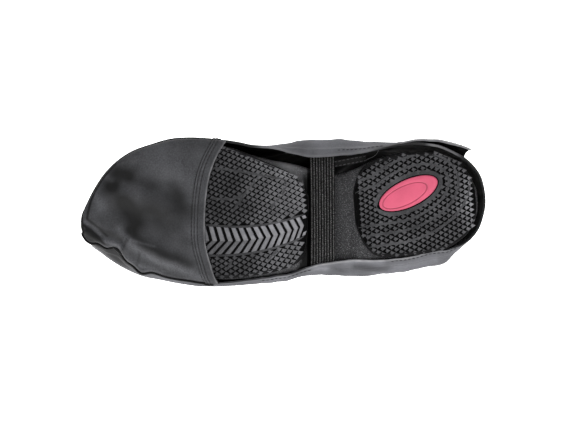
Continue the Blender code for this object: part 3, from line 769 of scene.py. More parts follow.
class OvershoeLooks(bpy.types.PropertyGroup):
    """Colours and sizes of the overshoe's visible pieces"""
    # Cover and flap colour, nearly three times the toe pocket's though the fabric is the same: painted sheen
    # of the sides seen at grazing angles
    cover_colour_with_sheen: colour("Cover colour", "Coated fabric of the cover", (0.058, 0.0585, 0.064))
    pocket_colour: colour("Toe pocket colour", "Coated fabric of the toe pocket", (0.0215, 0.0218, 0.0238))
    # Pale edges: partly rubbed wear, partly painted highlight
    wear_and_highlight_colour: colour("Worn edge colour", "Pale rubbed fabric edges", (0.14, 0.14, 0.145))
    # Lining: nearly black, painted shade inside the cover and in the gaps round the sole
    lining_shade_colour: colour("Lining colour", "Inside of the cover", (0.0016, 0.0016, 0.0018))
    elastic_colour: colour("Elastic colour", "Ribbed elastic strap", (0.0055, 0.0055, 0.0055))
    fleck_colour: colour("Fleck colour", "Pale threads in the elastic", (0.14, 0.14, 0.14))
    lug_colour: colour("Lug colour", "Tops of the tread lugs", (0.0455, 0.0455, 0.0480))
    # Tread floor: black rubber darkened further as painted shade in the recesses between the lugs
    shaded_floor_colour: colour("Tread floor colour", "Rubber between the lugs", (0.0008, 0.0008, 0.0009))
    sole_colour: colour("Sole colour", "Grained rubber of the waist and rim", (0.027, 0.027, 0.0285))
    grain_colour: colour("Grain colour", "Pale grains in the sole rubber", (0.12, 0.12, 0.125))
    bar_colour: colour("Chevron colour", "Grey chevron bars", (0.156, 0.156, 0.166))
    badge_colour: colour("Badge colour", "Pink heel oval", (0.42, 0.068, 0.118))
    insole_colour: colour("Insole colour", "Cloth over the insole", (0.08, 0.08, 0.085))
    thread_colour: colour("Thread colour", "Sewing thread", (0.014, 0.014, 0.014))
    paper_colour: colour("Floor colour", "Studio floor and backdrop", (0.95, 0.95, 0.95))
    fabric_gloss: factor("Fabric roughness", "Roughness of the smoothest fabric patches", 0.42, 0.1, 0.9)
    weave_pitch: length("Weave pitch", "Thread spacing of the coated fabric", 0.0007, 0.0002, 0.01)
    crease_depth: factor("Crease depth", "Depth of all fabric creases", 1.0, 0.0, 3.0)
    stitch_length: length("Stitch length", "Length of one stitch", 0.0026, 0.0005, 0.01)
    stitch_pitch: length("Stitch pitch", "Spacing of the stitches along a seam", 0.0034, 0.001, 0.02)
    thread_width: length("Thread width", "Thickness of the sewing thread", 0.0006, 0.0002, 0.003)
    lug_pitch: length("Lug pitch", "Spacing of the tread lugs along a row", 0.0070, 0.003, 0.02)
    lug_row: length("Lug row spacing", "Spacing of the rows of lugs", 0.0021, 0.001, 0.02)
    lug_height: length("Lug height", "Depth of the tread", 0.0013, 0.0003, 0.005)
    lug_notch: factor("Lug notch", "How far the two toe-side edges of each lug are set back", 0.54, 0.0, 1.0)
    strap_ribs: IntProperty(name="Strap ribs", description="Lengthwise ribs of the elastic strap", default=9,
                            min=2, max=30)
    light: factor("Light", "Brightness of the studio lights", 1.0, 0.05, 10.0)


def looks():
    return bpy.context.scene.overshoe_looks


NOTCH_STEEP = 3.0


def notched_rhomb(g, mesh, notch):
    """Turns an eight-sided cone into a rhomb whose two front edges are set back for a pointed pit."""
    x, y, z = g.axes(g.add("GeometryNodeInputPosition")["Position"])
    radius = g.math("POWER", g.math("ADD", g.times(x, x), g.times(y, y)), 0.5)
    straight = g.math("DIVIDE", radius, g.math("ADD", g.math("ABSOLUTE", x), g.math("ABSOLUTE", y)))
    x, y = g.times(x, straight), g.times(y, straight)
    front = g.math("MINIMUM", g.times(g.math("MAXIMUM", x, 0.0), NOTCH_STEEP), 1.0)
    x = g.math("SUBTRACT", x, g.times(front, g.times(notch, 0.5)))
    place = g.add("ShaderNodeCombineXYZ", x, y, z)["Vector"]
    return g.add("GeometryNodeSetPosition", Geometry=mesh, Position=place)["Geometry"]


SCATTER_INPUTS = (("Geometry", "NodeSocketGeometry"), ("Length", "NodeSocketFloat"),
                  ("Width", "NodeSocketFloat"), ("Height", "NodeSocketFloat"), ("Notch", "NodeSocketFloat"),
                  ("Finish", "NodeSocketMaterial"))
LUG_TOP_SHARE = 0.96


def scatter_tree(name, shape):
    """Tree that sets one shape on each point, turned and sized by the point's own values."""
    tree = bpy.data.node_groups.new(name, "GeometryNodeTree")
    for label, kind in SCATTER_INPUTS:
        tree.interface.new_socket(label, in_out="INPUT", socket_type=kind)
    tree.interface.new_socket("Geometry", in_out="OUTPUT", socket_type="NodeSocketGeometry")
    g = Graph(tree)
    start = g.add("NodeGroupInput")
    if shape == "stitch":
        mesh = g.add("GeometryNodeMeshUVSphere", Segments=8, Rings=6, Radius=0.5)["Mesh"]
    else:
        mesh = g.add("GeometryNodeMeshCone", Vertices=8, Radius_Top=0.5 * LUG_TOP_SHARE, Radius_Bottom=0.5,
                     Depth=1.0)["Mesh"]
        mesh = notched_rhomb(g, mesh, start["Notch"])
    mesh = g.add("GeometryNodeSetShadeSmooth", Geometry=mesh, Shade_Smooth=shape == "stitch")["Geometry"]
    turns, sizes = (g.add("GeometryNodeInputNamedAttribute", Name=key, settings={"data_type": "FLOAT_VECTOR"})
                    for key in ("turn", "size"))
    turned = g.add("FunctionNodeEulerToRotation", turns["Attribute"])["Rotation"]
    whole = g.add("ShaderNodeCombineXYZ", start["Length"], start["Width"], start["Height"])["Vector"]
    made = g.add("GeometryNodeInstanceOnPoints", Points=start["Geometry"], Instance=mesh, Rotation=turned,
                 Scale=g.vector_times(whole, sizes["Attribute"]))["Instances"]
    made = g.add("GeometryNodeRealizeInstances", Geometry=made)["Geometry"]
    made = g.add("GeometryNodeSetMaterial", Geometry=made, Material=start["Finish"])["Geometry"]
    g.add("NodeGroupOutput", made)
    return tree


def scattered(name, shape, spots, along, normal, sizes, whole, finish, notch=0.0):
    """One plain mesh with a shape on each spot, its length along one direction, its top along the normal.
    Whole is the length, width and height of a shape of size 1; notch sets back its front edges."""
    tree = bpy.data.node_groups.get("overshoe_" + shape) or scatter_tree("overshoe_" + shape, shape)
    normal = unit(world_direction(normal))
    side = unit(np.cross(normal, world_direction(along)))
    ahead = unit(np.cross(side, normal))
    turns = [Matrix(np.stack(axes, axis=1).tolist()).to_euler() for axes in zip(ahead, side, normal)]
    mesh = bpy.data.meshes.new(name)
    mesh.from_pydata(world(spots).tolist(), [], [])
    point_values(mesh, "turn", turns, "FLOAT_VECTOR")
    point_values(mesh, "size", sizes, "FLOAT_VECTOR")
    item = link_piece(name, mesh)
    modifier = item.modifiers.new("scatter", "NODES")
    modifier.node_group = tree
    inputs = dict(zip(("Length", "Width", "Height", "Notch", "Finish"), (*whole, notch, finish)))
    for entry in tree.interface.items_tree:
        if entry.item_type == "SOCKET" and entry.in_out == "INPUT" and entry.name in inputs:
            modifier[entry.identifier] = inputs[entry.name]
    graph = bpy.context.evaluated_depsgraph_get()
    made = bpy.data.meshes.new_from_object(item.evaluated_get(graph), depsgraph=graph)
    item.modifiers.clear()
    item.data = made
    made.name = name
    for key in ("turn", "size"):
        if key in made.attributes:
            made.attributes.remove(made.attributes[key])
    if not made.polygons:
        raise RuntimeError(f"{name}: nothing was placed")
    return item


# How far to both sides a stitch looks for its seam's direction, and its room over the floor
SEAM_LOOK = 0.6
STITCH_ROOM = 0.4


def stitches(name, rows, finish, slot, lift=0.05):
    """One piece with the stitches of these rows, each a path with its normals, at even spacing."""
    own = looks()
    pitch = own.stitch_pitch / MM
    made = []
    for path, normal in rows:
        path, normal = np.asarray(path, dtype=float), np.asarray(normal, dtype=float)
        reach = path_reach(path)
        at = np.arange(pitch / 2, reach[-1], pitch)
        along = read_along(at + SEAM_LOOK, reach, path) - read_along(at - SEAM_LOOK, reach, path)
        made.append((read_along(at, reach, path), along, read_along(at, reach, normal)))
    spots, along, out = (np.concatenate(parts) for parts in zip(*made))
    spots[:, 1] = np.maximum(spots[:, 1], FLOOR_SIDE + STITCH_ROOM)
    whole = (own.stitch_length, own.thread_width, own.thread_width)
    piece = scattered(name, "stitch", spots + out * lift, along, out, np.ones((len(spots), 3)), whole, finish)
    return seat(piece, slot)


# Creases of the cover: depth (a ridge is negative), width, then points as height and turn round the
# shoe in degrees (0 front, 90 inner side, 180 back, 270 outer side)
COVER_FOLDS = (
    (2.2, 6.0, ((94, 62), (100, 30), (103, 0), (99, -30), (90, -60))),
    (2.6, 6.5, ((114, 68), (122, 34), (127, 0), (121, -32), (110, -64))),
    (2.0, 6.0, ((138, 58), (147, 24), (148, -22), (137, -54))),
    (1.6, 6.0, ((84, 46), (87, 20), (88, -4), (85, -28), (79, -50))),
    (1.3, 7.0, ((66, 34), (71, 16), (73, 0), (70, -18), (63, -36))),
    (1.0, 6.0, ((60, 26), (65, 10), (66, -8), (61, -24))), (2.0, 6.5, ((74, 206), (69, 182), (76, 156))),
    (1.6, 6.0, ((98, 208), (93, 182), (101, 158))), (1.4, 6.0, ((122, 202), (118, 180), (126, 162))),
    (2.6, 8.0, ((204, 72), (172, 80), (142, 96), (118, 112))),
    (-1.8, 7.0, ((204, 92), (174, 100), (146, 114), (122, 128))),
    (2.2, 7.0, ((204, 118), (178, 122), (150, 134))), (1.8, 7.0, ((204, 146), (172, 152), (134, 150))),
    (2.0, 7.0, ((204, 40), (180, 44), (156, 60), (136, 78))),
    (1.6, 6.0, ((196, 302), (168, 296), (136, 286), (112, 280))),
    (1.4, 6.0, ((186, 250), (150, 256), (116, 250))),
    (1.5, 6.0, ((52, 104), (62, 112), (66, 126), (62, 142))), (1.3, 6.0, ((44, 70), (56, 78), (62, 92))),
    (1.4, 6.0, ((48, 254), (58, 246), (64, 232), (60, 216))),
    (1.2, 6.0, ((40, 286), (52, 280), (58, 268))), (1.0, 4.0, ((30, 22), (38, 14), (40, 4))),
    (1.2, 3.2, ((24, -16), (31, -11), (35, -3))), (-0.9, 2.6, ((23, -22), (28, -17), (34, -9))),
    (0.9, 2.4, ((8, 296), (12, 290), (14, 282))), (0.8, 2.2, ((7, 262), (9, 256), (12, 248))),
    (-0.7, 2.2, ((6, 252), (8, 244), (10, 236))),
)
# Soft painted highlights and painted shade low on the cover: amount, radius, then points as station and
# inner/outer position
COVER_PAINTED_LIGHT = (
    (0.26, 3.0, ((176, -56), (168, -55), (160, -53))), (0.32, 3.2, ((137, -48), (128, -49))),
    (0.26, 1.8, ((112, -45), (98, -45.5), (84, -47))),
    (-0.28, 2.4, ((105, -49.5), (95, -51.5), (86, -53), (79, -52))),
    (0.24, 4.0, ((90, -56.5), (66, -52), (42, -48.5))), (-0.24, 2.6, ((123, -49.5), (115, -52))),
    (-0.20, 3.0, ((155, -49.5), (147, -48.5))), (0.20, 6.0, ((128, 51), (105, 49), (90, 47))),
    (-0.16, 2.0, ((131, 42), (130, 48))), (-0.16, 4.0, ((140, 46), (152, 51))),
)


HEM_HEIGHT = 5.0


def cover_point(h, theta):
    """Point of the plain cover at a height and a turn round the shoe."""
    theta = np.atleast_1d(theta)
    if h >= WALL_HEIGHT:
        return high_loop(theta, h)[0]
    if h >= BULGE_HEIGHT:
        return wall_loop(theta, (h - BULGE_HEIGHT) / (WALL_HEIGHT - BULGE_HEIGHT))[0]
    return low_loop(theta, max(0.0, (h - HEM_HEIGHT) / (BULGE_HEIGHT - HEM_HEIGHT)))[0]


def fold_push(points, folds, paths, fade, ridge, dark, core):
    """Push along the normals and painted shade from soft troughs with a low ridge on both sides."""
    push = np.zeros(points.shape[:2])
    shade = np.zeros(points.shape[:2])
    for (deep, wide, _), path in zip(folds, paths):
        near, share = path_distance(points, path)
        soft = np.sin(math.pi * np.clip(share, 0.02, 0.98)) ** fade
        push -= deep * soft * (gauss(near, wide) - ridge * gauss(near - 1.7 * wide, 0.8 * wide))
        shade += dark * max(deep, 0.0) * soft * gauss(near, core * wide)
    return push, shade


COVER_AROUND = 256
COVER_Q = (0.0, 0.05, 0.1, 0.15, 0.2, 0.25, 0.29, 0.32, 0.38, 0.46, 0.55, 0.64, 0.73, 0.82, 0.91, 1.0)
HEM_BAND = 0.34
HEM_LINE = 0.335
COLLAR_BAND = 184.5
# Points along a fold, and the fade of its ends, its ridges, its painted shade and the painted shade's width
COVER_FOLD_STEPS = 26
COVER_FOLD_LOOK = (0.6, 0.42, 0.16, 0.45)
# Stations of the gathered hem, of its pale outer edge of wear and painted highlight, of its pale inner edge
# line of wear and painted highlight, and of its inner rim in painted shade: start and its softness, end and
# its softness
GATHERED_INNER = (66, 20, 172, 24)
GATHERED_OUTER = (22, 16, 206, 26)
WEAR_AND_HIGHLIGHT_OUTER = (48, 16, 146, 16)
PALE_LINE_INNER = (13, 6, 44, 6)
SHADED_RIM_INNER = (170, 9, 214, 9)
# Depths of the hem's gathers and their slow waves, of the slack collar and of the slack sides
GATHER_DEEP = 0.55
GATHER_WAVE = 0.8
COLLAR_SLACK = 1.5
SIDE_SLACK = 0.7
# Where the cover lies smooth under the closure flap: heights as above, front end, share taken away
FLAP_HEIGHTS = (30, 20, 174, 8)
FLAP_FRONT = 72
FLAP_SMOOTHS = 0.85
# Half width and thickness of the seam allowances at the heel and toe, and the height they start at
SEAM_HALF = 3.4
SEAM_THICK = 0.45
SEAM_FROM = 26
# Outer side of the toe: the station it starts at, and that of its corner in painted shade
TOE_SIDE = 216
TOE_CORNER = 311


def cover_grid():
    """Plain cover as level loops from the hem to the collar."""
    theta = around(COVER_AROUND)
    rows = [low_loop(theta, q) for q in COVER_Q]
    rows += [wall_loop(theta, s) for s in np.linspace(0, 1, 11)[1:-1]]
    heights = np.concatenate([np.arange(38.0, 75.0, 1.0), np.arange(75.0, 204.5, 1.7), [205.0]])
    rows += [high_loop(theta, float(h)) for h in heights]
    return np.array(rows), theta


def cover_push(grid, theta, inner):
    """Creases, gathers along the hem, slack and seam allowances of the cover, and their painted shade."""
    a, height = grid[..., 0], grid[..., 2]
    paths = []
    for _, _, knots in COVER_FOLDS:
        heights, turns = through(knots, COVER_FOLD_STEPS)
        paths.append([cover_point(float(h), t) for h, t in zip(heights, np.radians(turns))])
    push, shade = fold_push(grid, COVER_FOLDS, paths, *COVER_FOLD_LOOK)
    low = ease(1 - (height - HEM_HEIGHT) / 20)
    gather = low * np.where(inner, between(a, *GATHERED_INNER), between(a, *GATHERED_OUTER))
    push += GATHER_DEEP * gather * ripple(a / 3.1 + np.where(inner, 40.0, 0.0), 11)
    push += GATHER_WAVE * gather * ripple(a / 9.0 + height / 6, 12)
    push += COLLAR_SLACK * ease((height - 140) / 60) * ripple(theta[None, :] * 6.0, 13)
    push += SIDE_SLACK * ripple(a / 16 + height / 21, 14) * ease((height - 20) / 40)
    under_flap = np.where(inner, ease((FLAP_FRONT - a) / 8) * between(height, *FLAP_HEIGHTS), 0.0)
    push *= looks().crease_depth * (1 - FLAP_SMOOTHS * under_flap)
    seam_turn = np.minimum(np.abs(theta - math.pi), np.minimum(theta, 2 * math.pi - theta))
    back, front = (np.abs(grid[..., 1] - grid[:, [at], 1]) for at in (len(theta) // 2, 0))
    sewn = np.where(seam_turn[None, :] < 0.5, np.where(np.cos(theta)[None, :] < 0, back, front), 99.0)
    upper_part = ease((height - SEAM_FROM) / 8)
    push += SEAM_THICK * ease((SEAM_HALF - sewn) / 0.9) * upper_part
    return push, shade + 0.5 * gauss(sewn - SEAM_HALF - 0.5, 0.6) * upper_part


def dressed_cover():
    """Outer and inner face of the cover with its normals, colour values and turns."""
    grid, theta = cover_grid()
    normal = grid_normals(grid, True)
    a, height = grid[..., 0], grid[..., 2]
    inner = inner_half(theta)[None, :]
    push, shade = cover_push(grid, theta, inner)
    q = np.ones((len(grid), 1))
    q[: len(COVER_Q), 0] = COVER_Q
    thick = HEM_STEP * ease((HEM_BAND - q) / 0.05) + COLLAR_STEP * ease((height[:, :1] - COLLAR_BAND) / 1.6)
    face = grid + normal * (push + thick)[..., None]
    face[..., 1] = np.maximum(face[..., 1], FLOOR_SIDE)
    lining = grid + normal * (np.clip(push, -3, 3) - WALL)[..., None]
    lining[..., 1] = np.maximum(lining[..., 1], FLOOR_SIDE + WALL)
    # Pale edges of wear and painted highlight along the hem, the collar and its band
    worn = np.zeros(grid.shape[:2])
    worn[:2] = np.where(inner, 0.3, 0.35 + 0.5 * between(a[:2], *WEAR_AND_HIGHLIGHT_OUTER)) * ease((a[:2] - 20) / 16)
    worn[-2:] = 0.5
    worn += 0.25 * gauss(height - COLLAR_BAND - 1.0, 1.0)
    shade += np.where(inner, 0.15, 0.45) * gauss(q - HEM_LINE, 0.02)
    # Painted highlights and painted shade low on the cover
    tone = 0.5 + patches(grid[..., :2], COVER_PAINTED_LIGHT) * ease((64 - height) / 24)
    # Outer side of the toe: painted shade along its seam instead of the pale edge
    toe_side = np.where(inner, 0.0, ease((a - TOE_SIDE) / 8))
    worn *= 1 - toe_side
    shade += toe_side * gauss(q, 0.10)
    # Painted shade on the hem's rim at the back and along the inner side
    shade += 0.95 * np.where(inner, ease((92 - a) / 20), ease((30 - a) / 12)) * gauss(q, 0.16)
    # A pale edge line of wear and painted highlight on the inner rim, clear of shade
    line_edge = np.where(inner, between(a, *PALE_LINE_INNER), 0.0) * gauss(q, 0.045)
    shade *= 1 - 0.95 * line_edge
    worn += 0.6 * line_edge
    # Painted shade in the toe's outer corner
    shade += 0.9 * toe_side * gauss(a - TOE_CORNER, 6) * ease((34 - height) / 12)
    # Painted shade on the inner rim at the front
    rim_shade = np.where(inner, between(a, *SHADED_RIM_INNER), 0.0) * gauss(q, 0.22)
    shade += rim_shade
    worn *= 1 - rim_shade
    # Painted shade on the toe's outer side band
    tone -= toe_side * (0.26 * ease((a - 258) / 20) + 0.42 * ease((a - 280) / 14)) * ease((36 - height) / 14)
    values = {"worn": worn, "shade": np.clip(shade, 0, 1), "tone": np.clip(tone, 0, 1)}
    return face, lining, normal, values, theta


# Runs of hem stitches on the cover: row of the grid, inner side, stations from and to
HEM_SEAMS = ((4, True, 76, 113), (2, False, 22, 79), (4, False, 138, 180))
# Rows of the grid with stitches round the collar, and columns beside the heel seam
COLLAR_SEAMS = (-9, -3)
HEEL_SEAMS = (-4, 4)
# Tape inside the hem at the waist: first point, run, tilt across, half width, thickness
TAPE_START = np.array([116.0, 33.2, 15.0])
TAPE_RUN = np.array([-26.0, 3.0, -1.0])
TAPE_TILT = np.array([0.1, 1.0, 0.25])
TAPE_HALF = 2.6
TAPE_THICK = 0.8
# Loose thread end beside the heel
THREAD_END = ((90.0, 35.0, 11.0), (88.0, 35.6, 10.0), (85.0, 36.6, 9.2), (82.5, 37.9, 8.6), (80.8, 39.8, 8.2),
              (80.0, 42.0, 8.4))


class OVERSHOE_OT_cover(bpy.types.Operator):
    """Coated-fabric cover with hem, creases, seams and collar"""
    bl_idname = "overshoe.cover"
    bl_label = "Cover"

    def execute(self, context):
        own = looks()
        slot = "cover_fabric"
        face, lining, normal, values, theta = dressed_cover()
        piece = shell("cover", face, lining, True, coated_fabric(slot, own.cover_colour_with_sheen, own, 0.2), values,
                      lining_cloth("cover_lining", own.lining_shade_colour))
        seat(piece, slot, "upper")
        sewing = thread("cover_thread", own.thread_colour)
        rows = []
        for level, inner, low, high in HEM_SEAMS:
            at = face[level][:, 0]
            run = np.where(((np.sin(theta) > 0) == inner) & (at > low) & (at < high))[0]
            rows.append((face[level][run], normal[level][run]))
        for level in COLLAR_SEAMS:
            rows.append([np.concatenate([grid[level], grid[level][:1]]) for grid in (face, normal)])
        for offset in HEEL_SEAMS:
            column = len(theta) // 2 + offset
            rows.append((face[30:-10, column], normal[30:-10, column]))
        sewn = stitches("cover_stitches", rows, sewing, slot)
        share = np.linspace(0, 1, 24)[:, None]
        middle = TAPE_START + share * TAPE_RUN
        middle[:, 2] += 0.4 * ripple(share[:, 0] * 9, 17)
        tape = middle[:, None] + np.linspace(-TAPE_HALF, TAPE_HALF, 7)[None, :, None] * TAPE_TILT
        inside = shell("inner_tape", tape, tape + np.array([0.0, 0.0, TAPE_THICK]), False,
                       thread("tape_cloth", tint(own.thread_colour, 1.1)))
        seat(inside, slot)
        pale = thread("pale_thread", tint(own.wear_and_highlight_colour, 0.55))
        down = np.tile([0.0, 0.0, -1.0], (len(tape), 1))
        lines = stitches("tape_stitches", [(tape[:, 1], down), (tape[:, 5], down)], pale, slot, 0.1)
        end = seat(cord("thread_end", THREAD_END, 0.2, 0.0, pale), slot)
        area = measured_area(face)
        return {"FINISHED"}


# Creases of the toe pocket: depth (a ridge is negative), width, then points as station and
# inner/outer position
POCKET_FOLDS = (
    (-1.5, 6.5, ((276, -17), (256, -31), (232, -45))), (1.1, 5.5, ((288, -21), (266, -37), (240, -50))),
    (1.0, 4.0, ((316, 2), (306, -8), (296, -15), (286, -19))),
    (-0.9, 2.6, ((318, -3), (310, -11), (302, -17))), (-1.0, 9.0, ((300, 24), (276, 22), (246, 8))),
    (1.0, 10.0, ((296, 8), (270, -2), (240, -14))), (0.9, 9.0, ((298, 34), (284, 38), (268, 44))),
    (-0.8, 9.0, ((262, 44), (240, 36), (226, 20))), (0.8, 8.0, ((246, 24), (236, 6), (230, -14))),
    (0.9, 2.6, ((297, -26), (291, -17), (287, -9))),
    (-1.4, 2.2, ((303, -13), (297, -16), (291, -19), (287, -24))),
    (0.8, 2.6, ((276, -42), (272, -33), (271, -26))), (-0.7, 2.4, ((284, -38), (279, -30), (277, -24))),
    (0.7, 2.6, ((258, -49), (256, -42), (257, -35))), (0.6, 2.4, ((244, -53), (243, -47), (245, -41))),
)
# Soft painted highlights and painted shade of the toe pocket: amount, radius, then points
POCKET_PAINTED_LIGHT = (
    (-0.40, 6.0, ((288, 40), (279, 35))), (-0.09, 19.0, ((274, 6), (250, -4))),
    (-0.22, 5.0, ((294, 33), (290, 29))), (-0.30, 7.5, ((294, 27), (287, 18), (283, 8), (276, -3))),
    (-0.18, 7.0, ((283, 16), (272, 8))), (-0.26, 9.0, ((243, 20), (239, 8))),
    (-0.22, 8.0, ((262, 8), (255, 1))), (-0.20, 6.0, ((268, 30), (261, 26))),
    (-0.30, 4.5, ((282, -9), (268, -22), (252, -30), (236, -38))), (0.24, 4.0, ((308, 23), (303, 13))),
    (0.16, 6.0, ((283, 25), (273, 21))), (0.30, 2.6, ((297, 36), (293, 33))),
    (0.22, 13.0, ((256, 46), (240, 40), (228, 30))), (0.14, 7.0, ((232, -8), (229, -24))),
    (0.34, 3.4, ((290, -7), (273, -28), (256, -36), (240, -42), (227, -49))),
    (0.5, 2.0, ((301, -14.5), (295, -16), (290, -20))), (-0.3, 2.5, ((304, -6), (296, -10), (289, -14))),
    (0.26, 1.0, ((281, -15), (271, -19), (262, -22))), (0.42, 1.5, ((317, 2), (311, -4), (306, -9))),
    (0.26, 2.4, ((284, -31), (278, -36), (270, -39), (258, -43))),
)
# Painted shade: dark fold lines at the tip and along the inner edge, in the same terms
POCKET_PAINTED_SHADE = (
    (1.0, 1.0, ((318, -1), (312, -7), (307, -12), (303, -17))), (1.6, 4.2, ((315, -8), (311, -13))),
    (1.4, 3.0, ((317, -9), (313.6, -13), (309.4, -17))),
    (1.4, 0.9, ((290, 45.6), (292.2, 43.8), (300.2, 35.4), (307.4, 24.9), (311.4, 17), (314, 8.6), (315, 4))),
    (0.9, 0.9, ((314, 3), (306, -4), (300, -11))), (0.8, 1.0, ((290, -25), (287, -20), (284, -15))),
    (0.5, 1.2, ((279, -37), (276, -31), (275, -26))),
)
# Points along a fold and its look, as for the cover
POCKET_FOLD_STEPS = 18
POCKET_FOLD_LOOK = (0.7, 0.4, 0.12, 0.5)
# Distances of the seams from the pocket's rear edge, and of the welts beside them
POCKET_LINES = (5.8, 8.3, 10.4)
POCKET_WELTS = (7.0, 9.4)
# Pocket's usual length, the station of its tip, and where its slack starts and over what length it grows
POCKET_LONG = 105.0
POCKET_TIP = TOE_TIP - 1.4
SLACK_FROM = 240
SLACK_LONG = 45
POCKET_COLUMNS = 130


def pocket_across(a, v):
    middle, outer, inner = section(a, HEM_BACK, HEM_FRONT)
    return middle + np.where(v < 0, v * drawn_in(outer, a, 1), v * drawn_in(inner, a, 2))


def pocket_grid():
    """Plain toe pocket under the forefoot, its distance from the rear edge, and across shares."""
    v = np.sin(np.linspace(-1, 1, POCKET_COLUMNS) * math.pi / 2)
    hem_a = np.full_like(v, 215.0)
    for _ in range(8):
        hem_a = curve(TOE_HEM, pocket_across(hem_a, v))
    shares = np.concatenate([np.arange(0, 12.5, 0.45) / POCKET_LONG, np.linspace(12.6 / POCKET_LONG, 0.9, 72),
                             0.9 + 0.096 * np.sin(np.linspace(0, math.pi / 2, 18)[1:])])
    rows = []
    for r in shares:
        a = hem_a + (POCKET_TIP - hem_a) * r
        low = spring(a) - SEAM_GAP - 0.3 - TOE_SLACK * ease((a - SLACK_FROM) / SLACK_LONG) - TOE_WALL
        edge = curve(HEM, a, 3) - SEAM_GAP - HEM_STEP
        n = TOE_EDGE_ROUND
        flat = (1 - np.abs(v) ** n) ** (1 / n) * (1 - r**n) ** (1 / n)
        rows.append(np.stack([a, pocket_across(a, v), low + (edge - low) * (1 - flat)], axis=-1))
    grid = np.array(rows)
    return grid, grid[..., 0] - hem_a[None, :], v


# Gathers of the toe seam on its outer side: added thickness, station, length
SEAM_GATHERS = ((0.8, 291.5, 3.2), (0.5, 307, 4), (0.25, 276, 4))
# First row of the pocket that the dark seam cord starts from
SEAM_ROW = 8


def toe_seam(face, v, finish):
    """Dark cord along the pocket's seam as its painted shade, thicker in its gathers on the outer side."""
    outline = np.concatenate([face[SEAM_ROW:-1, 0], face[-1], face[SEAM_ROW:-1, -1][::-1]])
    legs = len(face) - 1 - SEAM_ROW
    outer = np.concatenate([np.ones(legs), ease(np.linspace(1, -0.2, len(v)) * 2), np.zeros(legs)])
    outward = np.concatenate([np.full(legs, 1.2), 0.1 + 1.1 * ease(np.linspace(1, -5, len(v))),
                              np.full(legs, 0.45)])
    gathers = sum(amount * gauss(outline[:, 0] - at, wide) for amount, at, wide in SEAM_GATHERS)
    thick = 0.5 + outer * (0.16 + gathers)
    return cord("toe_seam_shade_cord", outline - np.array([0.0, 0.0, 0.4]), thick, outward, finish)


class OVERSHOE_OT_toe_pocket(bpy.types.Operator):
    """Toe pocket under the forefoot with its sewn rear hem and gathered outer seam"""
    bl_idname = "overshoe.toe_pocket"
    bl_label = "Toe pocket"

    def execute(self, context):
        own = looks()
        slot = "toe_fabric"
        grid, reach, v = pocket_grid()
        normal = grid_normals(grid, False)
        if normal[40, POCKET_COLUMNS // 2, 2] > 0:
            normal = -normal
        plan = grid[..., :2]
        a, y = grid[..., 0], grid[..., 1]
        paths = [np.stack(through(knots, POCKET_FOLD_STEPS), axis=-1) for _, _, knots in POCKET_FOLDS]
        push, shade = fold_push(plan, POCKET_FOLDS, paths, *POCKET_FOLD_LOOK)
        loose = ease((reach - 9) / 14)
        push += loose * (0.55 * ripple(a / 9.5 + y / 17, 21) + 0.45 * ripple(y / 8.0 - a / 21, 22))
        push *= own.crease_depth * (1 - np.abs(v)[None, :] ** 14)
        groove = sum(gauss(reach - at, 0.5) for at in POCKET_LINES)
        thick = TOE_HEM_STEP * ease((TOE_HEM_BAND + 0.3 - reach) / 0.7) - 0.32 * groove
        thick += 0.18 * gauss(reach - POCKET_WELTS[0], 0.6) + 0.12 * gauss(reach, 1.3)
        face = grid + normal * (np.maximum(push, -0.9) + thick)[..., None]
        lining = grid - normal * (TOE_WALL - np.clip(push, -0.5, 3.0))[..., None]
        # Pale rear edge of the pocket: wear and painted highlight
        worn = gauss(reach, 0.8) * (0.75 + 0.25 * ripple(y / 5.0, 23))
        # Painted shade along the seam edges, in the stitch grooves and in the fold lines
        seam = gauss(1 - np.abs(v), 0.010) * np.where(v < 0, 0.85, 0.425)
        shade += 0.5 * np.clip(groove, 0, 1) + seam[None, :] + patches(plan, POCKET_PAINTED_SHADE)
        # Painted highlights and painted shade on the toe pocket, with a blotchy tone
        tone = 0.5 + 1.3 * patches(plan, POCKET_PAINTED_LIGHT)
        tone += 0.09 * ripple(a / 5.0 + y / 9.0, 24) * ripple(y / 4.5 - a / 8.0, 25)
        # Painted highlights on the welts of the rear hem
        tone += 0.14 * gauss(reach - POCKET_WELTS[0], 0.7) + 0.14 * gauss(reach - POCKET_WELTS[1], 0.6)
        values = {"worn": worn, "shade": shade, "tone": tone}
        values = {key: np.clip(grids, 0, 1) for key, grids in values.items()}
        piece = shell("toe_pocket", face, lining, False,
                      coated_fabric(slot, own.pocket_colour, own, 0.3, 62.0, 0.5), values,
                      lining_cloth("pocket_lining", own.lining_shade_colour))
        seat(piece, slot, "toe_panel")
        rows = []
        for at in POCKET_LINES:
            rows.append([[read_along(at, reach[:, c], grids[:, c]) for c in range(4, len(v) - 4)]
                         for grids in (face, normal)])
        sewn = stitches("toe_hem_stitches", rows, thread("toe_thread", own.thread_colour), slot, 0.0)
        # A nearly black cord along the seam: painted shade of the seam's gap
        seam_shade_cord = seat(toe_seam(face, v, thread("toe_seam_shade", tint(own.thread_colour, 0.5))), slot)
        return {"FINISHED"}


FLAP_COLUMNS = 48
FLAP_HEM = 6.0
# Station of the flap's thin front edge, of its free rear part, and the least gap to the cover
FLAP_THIN_AT = 63.5
FLAP_FREE_AT = 30
FLAP_LEAST = 0.4
FLAP_PLAY = 0.25


